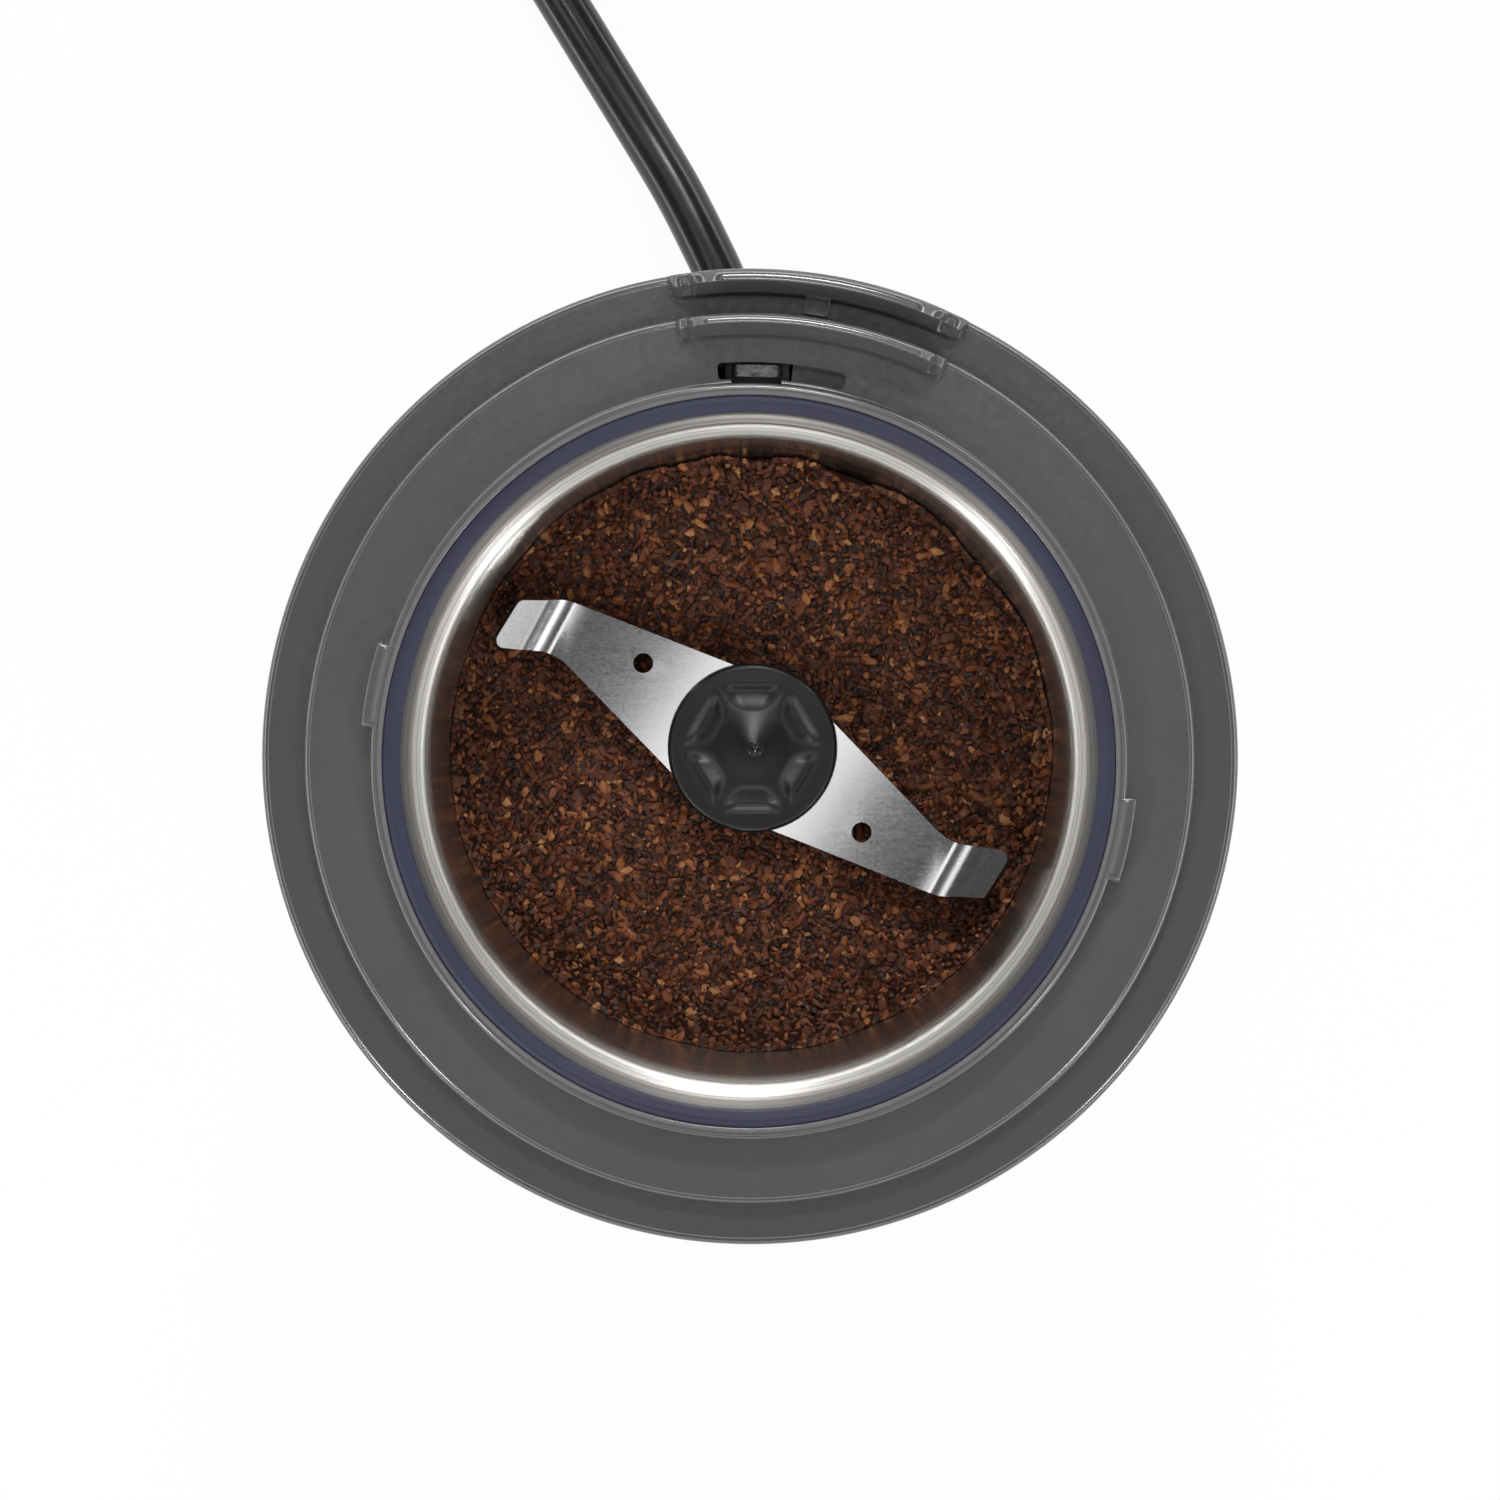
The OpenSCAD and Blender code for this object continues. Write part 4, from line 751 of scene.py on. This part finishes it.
def makePlunger(spec):
    width, depth, height, shoulderTop = spec["shoulder"]
    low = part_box("safety_plunger")[0].z / mm
    tall = spec["top"] - shoulderTop + 1
    head = block(spec["width"], spec["thickness"], tall)
    topEdges = [e for e in head.edges if min(v.co.z for v in e.verts) > 0]
    ends = [e for e in topEdges if abs(e.verts[0].co.x - e.verts[1].co.x) < 0.1]
    bmesh.ops.bevel(head, geom=ends, offset=spec["chamfer"], segments=1, affect="EDGES")
    rounded(head, 0.12, 2)
    moved(head, 0, spec["reach"], spec["top"] - tall / 2)
    shoulder = moved(block(width, depth, height, 0.2), 0, spec["reach"] + 0.25, shoulderTop - height / 2)
    radius, edge, rodTop = spec["rod"], spec["rodEdge"], spec["rodTop"]
    line = [(0, low), (radius - edge, low), (radius, low + edge), (radius, rodTop), (0, rodTop)]
    rod = moved(lathe(line, 40), 0, spec["reach"], 0)
    turn = deck["plungerAngle"] - 90
    data = joined([toData(turned(part, turn)) for part in (head, shoulder, rod)])
    data.name = "safetyPlunger"
    data.set_sharp_from_angle(angle=math.radians(35))
    obj = link("safetyPlunger", data, "plunger", plungerLook())
    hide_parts("safety_plunger")


spring = {
    "place": (0.777, 40.493, 101.65),
    "height": 7.8,
    "radius": 2.15,
    "wire": 0.25,
    "turns": 6,
    "keep": 0.74,  # share of its height when the plunger is down
}


def makeSpring(spec):
    mesh = bmesh.new()
    bmesh.ops.create_circle(mesh, segments=10, radius=spec["wire"])
    moved(turned(mesh, 90, "X"), spec["radius"], 0, spec["wire"])
    steps = 32 * spec["turns"]
    bmesh.ops.spin(
        mesh, geom=mesh.verts[:] + mesh.edges[:], cent=(0, 0, 0), axis=(0, 0, 1), steps=steps,
        angle=2 * math.pi * spec["turns"], dvec=(0, 0, (spec["height"] - 2 * spec["wire"]) / steps),
    )
    bmesh.ops.holes_fill(mesh, edges=mesh.edges, sides=0)
    data = toData(moved(mesh, *spec["place"]))
    obj = showPiece("plungerSpring", data, "housing", "steel", ["plunger_spring"], weighted=False)
    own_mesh(obj)


makeHousing(housing)
makeDeck(deck)
makePlunger(plunger)
makeSpring(spring)
print("housing done")

bowl = {
    "rimZ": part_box("bowl")[1].z / mm,
    "rimRadius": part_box("bowl")[1].x / mm,
    "floorZ": 77.6,
    "mouth": 33.7,
    "low": 32.2,
    "neck": 5.2,
    "sheet": 0.7,
    "wallHeight": 34,
    "corner": 9,  # radius between the wall and the floor
    "step": (35.15, 34.95, 0.45),  # the step in the rim: outer and inner radius, and depth
}


def makeBowl(spec):
    top, floor, neck = spec["rimZ"], spec["floorZ"], spec["neck"]
    stepOuter, stepInner, stepDepth = spec["step"]
    line = roundLine([
        (spec["rimRadius"], top, 0), (stepOuter, top, 0.1), (stepInner, top - stepDepth, 0.1),
        (spec["mouth"], top - 0.5, 1.1), (spec["mouth"] - 0.12, top - 4, 20),
        (spec["low"], floor, spec["corner"]), (neck + 4.3, floor, 1.5),
        (neck + 3.4, floor + 1.6, 1), (neck, floor + 1.6, 0),
    ], 10)
    data = toData(lathe(line, 320, closed=False))
    nearAxis = min(data.polygons, key=lambda face: face.center.xy.length)
    if nearAxis.normal.z < 0:  # the open sheet faces inwards and up before it gets its thickness
        data.flip_normals()
    obj = showPiece("steelBowl", data, "housing", "bowl_steel", ["bowl"], weighted=False)
    change = obj.modifiers.new("sheet", "SOLIDIFY")
    change.thickness = spec["sheet"] * mm
    change.offset = -1


seal = {
    "inner": 36.25,
    "innerHeight": 1.5,
    "crest": (37.3, 1.68),  # radius and height
    "outerHeight": 1.55,
}


def makeSeal(spec):
    base, inner, outer = bowl["rimZ"], spec["inner"], deck["collarInner"]
    crest, crestHeight = spec["crest"]
    line = roundLine([
        (inner, base, 0), (outer, base, 0), (outer, base + spec["outerHeight"], 0.06),
        (crest, base + crestHeight, 1.0), (inner, base + spec["innerHeight"], 0.12),
    ], 6, closed=True)
    showPiece("bowlSealRing", toData(lathe(line)), "housing", "seal_rubber", ["bowl_seal"])


makeBowl(bowl)
makeSeal(seal)
print("bowl done")

blade = {
    "z": 87.5,
    "thickness": 1.5,
    # corners of one arm: x, y and how far each is rounded; the other arm is its half turn
    "arm": [(5.7, 5.9, 0), (-20.5, 16.2, 8), (-26.36, 16.8, 0.9), (-29.51, 11.85, 1.0), (-21.2, 10.2, 6.5)],
    "hole": (-11.8, 9.15, 1.08),
    "bore": 2.55,
    "bendWay": 151.5,
    "bendFrom": 24.05,
    "bendRadius": 7.2,  # on the lower side
    "tipAngle": 34.5,
    "lift": 0.0019,  # how the arms curve up from the hub
    "thin": 0.85,  # how much thinner the tips are ground, from below
    "thinOver": 7,
    "edge": 0.2,
}


def bent(point, spec):
    # carries a point of the flat sheet round the bend at the end of its arm
    side = 1 if point.dot(polar(1, spec["bendWay"]).to_3d()) > 0 else -1
    way = polar(side, spec["bendWay"])
    along = point.xy.dot(way)
    point = point + Vector((0, 0, spec["lift"] * min(along, spec["bendFrom"]) ** 2))
    s = along - spec["bendFrom"]
    if s <= 0:
        return point
    radius, tip = spec["bendRadius"], math.radians(spec["tipAngle"])
    turn = min(tip, s / radius)
    rest = s - turn * radius
    base = spec["lift"] * spec["bendFrom"] ** 2
    if point.z - base < 0.01:
        point.z += spec["thin"] * min(1, s / spec["thinOver"])
    above = point.z - base
    out = radius * math.sin(turn) + rest * math.cos(turn) - above * math.sin(turn)
    up = base + radius * (1 - math.cos(turn)) + rest * math.sin(turn) + above * math.cos(turn)
    flat = point.xy - way * s
    return Vector((*(flat + way * out), up))


def makeBlade(spec):
    outline = roundLine(spec["arm"] + [(-x, -y, r) for x, y, r in spec["arm"]], 10, closed=True)
    mesh = bmesh.new()
    rim = [mesh.verts.new((p.x, p.y, 0)) for p in outline]
    edges = [mesh.edges.new((rim[i - 1], rim[i])) for i in range(len(rim))]
    x, y, radius = spec["hole"]
    for cx, cy, r in ((x, y, radius), (-x, -y, radius), (0, 0, spec["bore"])):
        circle = bmesh.ops.create_circle(mesh, segments=48, radius=r)["verts"]
        bmesh.ops.translate(mesh, verts=circle, vec=(cx, cy, 0))
        edges += [mesh.edges.get((circle[i - 1], circle[i])) for i in range(len(circle))]
    bmesh.ops.triangle_fill(mesh, edges=edges, use_beauty=True)
    way = polar(1, spec["bendWay"]).to_3d()
    length = spec["bendRadius"] * math.radians(spec["tipAngle"])
    cuts = [spec["bendFrom"] + length * i / 20 for i in range(21)] + [2 * i for i in range(1, 12)]
    for at in [c * side for side in (1, -1) for c in cuts]:
        geom = mesh.verts[:] + mesh.edges[:] + mesh.faces[:]
        bmesh.ops.bisect_plane(mesh, geom=geom, plane_co=way * at, plane_no=way)
    bmesh.ops.recalc_face_normals(mesh, faces=mesh.faces)
    if sum(f.normal.z for f in mesh.faces) < 0:
        bmesh.ops.reverse_faces(mesh, faces=mesh.faces)
    lower = mesh.faces[:]
    raised = bmesh.ops.extrude_face_region(mesh, geom=lower)["geom"]
    upper = [v for v in raised if isinstance(v, bmesh.types.BMVert)]
    bmesh.ops.translate(mesh, verts=upper, vec=(0, 0, spec["thickness"]))
    for vert in mesh.verts:
        vert.co = bent(vert.co, spec)
    mesh = inOrder(moved(mesh, 0, 0, spec["z"]))
    bmesh.ops.dissolve_limit(mesh, angle_limit=math.radians(0.02), verts=mesh.verts, edges=mesh.edges)
    data = toData(mesh)
    obj = showPiece("grindingBlade", data, "spindle", "blade_steel", ["blade"], sharp=30, weighted=False)
    change = obj.modifiers.new("edges", "BEVEL")
    change.width = spec["edge"] * mm
    change.segments = 3
    change.limit_method = "ANGLE"
    change.angle_limit = math.radians(40)
    change.harden_normals = True


makeBlade(blade)
print("blade done")

hub = {
    "z": 89.0,
    "radius": 9.15,
    "bore": 3.02,
    "boreDepth": 1.35,
    "foot": 0.35,  # how far the lower face stays inside the rim
    "edge": 1.4,  # height of the rim over the lower face
    "edgeRound": 0.55,
    "rim": 8.4,
    "dome": 0.37,
    "domeWidth": 3.6,
    "slope": 0.05,  # rise per millimetre from the rim inwards
    "domeReach": 3.9,
    "scoopReach": 7.1,
    "scoopDepth": 0.42,
    "corners": 7,  # how sharp the corners of the scoops' hexagon are
    "gate": (0.3, 0.0),
    "gateRing": (0.1, 0.55, 0.13),  # height, radius and width
    "gateDimple": (0.16, 0.3),  # depth and width
}


def hexReach(x, y, corners):
    # distance from the axis to the side of the hexagon through the point, with soft corners
    total = sum(math.exp(corners * polar(1, 30 + 60 * i).dot((x, y))) for i in range(6))
    return math.log(total) / corners


def hubHeight(x, y, spec):
    reach = math.hypot(x, y)
    crown = spec["dome"] * math.exp(-((reach / spec["domeWidth"]) ** 2))
    crown += spec["slope"] * max(0, spec["rim"] - reach)
    across = hexReach(x, y, spec["corners"]) if reach > 0.5 else 0.5
    turn = (math.degrees(math.atan2(y, x)) + 30) % 60 - 30
    toRidge = reach * abs(math.sin(math.radians(turn)))  # the ridges point at 0, 60, ...
    wall = softStep((spec["scoopReach"] + 0.1 - across) / 1.5)
    floor = softStep((across - spec["domeReach"]) / (spec["scoopReach"] - 0.7 - spec["domeReach"]))
    ridge = softStep((math.hypot(toRidge, 0.5) - 0.3) / 1.4)
    gate = math.hypot(x - spec["gate"][0], y - spec["gate"][1])
    ring, ringRadius, ringWidth = spec["gateRing"]
    dimple, dimpleWidth = spec["gateDimple"]
    nub = ring * math.exp(-((gate - ringRadius) / ringWidth) ** 2)
    nub -= dimple * math.exp(-(gate / dimpleWidth) ** 2)
    return crown - spec["scoopDepth"] * wall * floor * ridge + nub


def makeHub(spec):
    bore, radius, low = spec["bore"], spec["radius"], spec["z"]
    top, edge = low + spec["edge"], spec["edgeRound"]
    line = [(bore, low + spec["boreDepth"]), (bore, low), (radius - spec["foot"], low)]
    line += [Vector((radius - edge, top - edge)) + polar(edge, a) for a in range(0, 91, 15)]
    steps = 130
    line += [((radius - edge) * (1 - i / steps), top) for i in range(1, steps)] + [(0, top)]
    mesh = lathe(line, 216, closed=False)
    bmesh.ops.holes_fill(mesh, edges=mesh.edges, sides=0)
    for vert in mesh.verts:
        if vert.co.z > top - 0.01:
            vert.co.z += hubHeight(vert.co.x, vert.co.y, spec)
    showPiece("hubNut", toData(mesh), "spindle", "hub_plastic", ["hub_nut"], sharp=50, weighted=False)


makeHub(hub)
print("hub done")

spice = {
    "seed": 7,
    "inner": 8.6,
    "outer": 31.1,  # the blade's tips pass inside this
    "bedOuter": 33.2,
    "granuleOuter": 33.4,
    "floor": 78.3,
    "level": 83.6,
    "tilt": (-0.035, -0.07),  # rise per millimetre to the right and to the back
    "bank": (87.2, -1.75, -4.4),  # height at the wall: mean, and what the right and the back add
    "coarse": (6400, 0.36, 0.72),  # how many granules, and their smallest and largest radius
    "fine": (8200, 0.2, 0.42),
    "chunk": 120,  # how many granules are made at a time
    "pale": 0.06,  # share of them
    # the bed's tone is painted shade: the darkest, standing for the shade between the granules
    "bedPaintedShade": 0.12,
    "under": [(31, 82.5), (29.5, 80), (26, 78.3)],  # the bed's hidden lower side
}


def wallRadius(z):
    # the bowl's inner radius at this height, less a hair
    above, corner = z - bowl["floorZ"], bowl["corner"]
    straight = bowl["low"] + (bowl["mouth"] - bowl["low"]) * min(1, max(0, above / bowl["wallHeight"]))
    inset = corner - math.sqrt(corner * corner - (corner - above) ** 2) if above < corner else 0
    return straight - inset - 0.12


def bedHeight(x, y, spec):
    # low drifts, and a bank that the blade has thrown against the wall
    reach = math.hypot(x, y)
    drift = 0.5 * noise.noise(Vector((x * 0.12, y * 0.12, 3.1)))
    drift += 0.25 * noise.noise(Vector((x * 0.5, y * 0.5, 8)))
    middle = spec["level"] + drift + spec["tilt"][0] * x + spec["tilt"][1] * y
    mean, right, back = spec["bank"]
    edge = mean + (right * x + back * y) / max(reach, 1)
    edge += 2.2 * noise.noise(Vector((x * 0.14, y * 0.14, 5)))
    if reach <= 25:
        return middle
    return middle + max(0, edge - middle) * softStep((reach - spec["outer"] + 1.2) / 2.4)


def onBed(reach, angle, spec):
    # a point of the bed's surface, kept inside the wall
    x, y = reach * math.cos(angle), reach * math.sin(angle)
    z = bedHeight(x, y, spec)
    held = min(reach, wallRadius(z))
    return Vector((held * math.cos(angle), held * math.sin(angle), z))


def makeBed(spec):
    steps = 70
    reach = [spec["inner"] + (spec["bedOuter"] - spec["inner"]) * i / steps for i in range(steps + 1)]
    line = [(spec["inner"], spec["floor"]), *[(r, spec["level"]) for r in reach]]
    line += spec["under"]
    mesh = lathe(line, 240)
    for vert in mesh.verts:
        if vert.co.z > spec["level"] - 0.01:
            vert.co = onBed(vert.co.xy.length, math.atan2(vert.co.y, vert.co.x), spec) - Vector((0, 0, 0.2))
    layer = mesh.verts.layers.float.new("shade")
    # the whole bed gets the darkest tone, a painted shade between the granules
    for vert in mesh.verts:
        vert[layer] = spec["bedPaintedShade"]
    return toData(mesh)


def makeGranules(spec, kind):
    count, small, large = spec[kind]
    rng = random.Random(spec["seed"] + count)
    golden = math.pi * (3 - math.sqrt(5))
    chunks = []
    mesh = None
    for i in range(count):
        if i % spec["chunk"] == 0:
            if mesh:
                chunks.append(toData(mesh))
            mesh = bmesh.new()
            layer = mesh.verts.layers.float.new("shade")
        share = (i + rng.random()) / count
        reach = math.sqrt(spec["inner"] ** 2 + share * (spec["granuleOuter"] ** 2 - spec["inner"] ** 2))
        spot = onBed(reach, i * golden + rng.uniform(-0.01, 0.01), spec)
        size = small + (large - small) * rng.random() ** 1.6
        shape = Matrix.Diagonal((
            size * rng.uniform(0.8, 1.6), size * rng.uniform(0.6, 1.0), size * rng.uniform(0.4, 0.8), 1,
        ))
        turn = Matrix.Rotation(rng.uniform(0, 6.28), 4, "Z") @ Matrix.Rotation(rng.gauss(0, 0.6), 4, "X")
        place = Matrix.Translation(spot + Vector((0, 0, rng.uniform(-0.3, 0.3)))) @ turn @ shape
        made = bmesh.ops.create_icosphere(mesh, subdivisions=1, radius=1, matrix=place)
        shade = min(0.9, max(0.08, rng.gauss(0.5, 0.21)))
        if rng.random() < spec["pale"]:
            shade = rng.uniform(0.84, 1.0)
        for vert in made["verts"]:
            vert.co += Vector((rng.gauss(0, 1), rng.gauss(0, 1), rng.gauss(0, 0.7))) * size * 0.15
            vert[layer] = shade
            limit = wallRadius(vert.co.z) / max(vert.co.xy.length, 1)
            if limit < 1:
                vert.co.xy *= limit
    chunks.append(toData(mesh))
    return chunks


def makeSpice(spec):
    look = spiceLook()
    coarse = joined([makeBed(spec)] + makeGranules(spec, "coarse"))
    fine = joined(makeGranules(spec, "fine"))
    for name, data in (("groundSpice", coarse), ("groundSpiceFine", fine)):
        data.name = name
        link(name, data, "housing", look)


makeSpice(spice)
print("spice done")

lead = {
    # from the relief's outer end, and up to the lead's underside, in millimetres
    "exit": (-3.766, 47.852),
    "route": [
        (0, 0, 5.6), (-0.9, 3.7, 5.4), (-3.1, 8.5, 4.7), (-6.6, 15.3, 3.2), (-11.1, 22.8, 1.5),
        (-17.2, 32.7, 0.3), (-23, 42.2, 0.06), (-29.2, 52.4, 0.06), (-34.4, 61.2, 0.2), (-38.7, 68.7, 0.4),
    ],
    "tail": [
        (-23.6, 102.8, 0.4), (-20.2, 109.1, 1.4), (-15.3, 114.4, 3.6), (-9.1, 118.6, 6.4),
        (-1.9, 121.5, 9), (5.2, 122.3, 10.2), (11.7, 121.7, 10.4),
    ],
    "coil": (0.1, 93.2, 0.4),
    "outer": 46.0,
    "inner": 25.6,
    "diameter": 6.0,
}


def leadPoint(spec, point):
    return Vector((spec["exit"][0] + point[0], spec["exit"][1] + point[1], spec["diameter"] / 2 + point[2]))


def smoothLine(points, per=6):
    # a Catmull-Rom line through the points
    out = []
    for i in range(len(points) - 1):
        a, b, c, d = points[max(i - 1, 0)], points[i], points[i + 1], points[min(i + 2, len(points) - 1)]
        for k in range(per):
            t = k / per
            square = (2 * a - 5 * b + 4 * c - d) * t * t
            cube = (3 * b - 3 * c + d - a) * t ** 3
            out.append(0.5 * (2 * b + (c - a) * t + square + cube))
    out.append(points[-1])
    return out


def coilTurns(spec, start, end):
    # wound inwards and clockwise, a diameter between turns
    middle = leadPoint(spec, spec["coil"])
    a, b = (start - middle).xy, (end - middle).xy
    part = a.angle_signed(b) % (2 * math.pi)
    turns = round((spec["outer"] - spec["inner"]) / (spec["diameter"] + 0.1) - part / (2 * math.pi))
    first = math.atan2(a.y, a.x)
    steps = 200
    points = []
    for i in range(1, steps):
        share = i / steps
        angle = first - (turns * 2 * math.pi + part) * share
        reach = a.length + (b.length - a.length) * share
        points.append(middle + Vector((reach * math.cos(angle), reach * math.sin(angle), 0)))
    return points


def makeLead(spec):
    start = smoothLine([leadPoint(spec, p) for p in spec["route"]])
    end = smoothLine([leadPoint(spec, p) for p in spec["tail"]])
    points = [p * mm for p in start + coilTurns(spec, start[-1], end[0]) + end]
    curve = bpy.data.curves.new("lead", "CURVE")
    curve.dimensions = "3D"
    curve.bevel_depth = spec["diameter"] / 2 * mm
    curve.bevel_resolution = 8
    curve.use_fill_caps = True
    line = curve.splines.new("POLY")
    line.points.add(len(points) - 1)
    for spot, where in zip(line.points, points):
        spot.co = (*where, 1)
    line.use_smooth = True
    obj = link("lead", curve, "housing", looks["cord_rubber"])
    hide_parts("power_cord", "cord_coil", "cord_tail")


makeLead(lead)
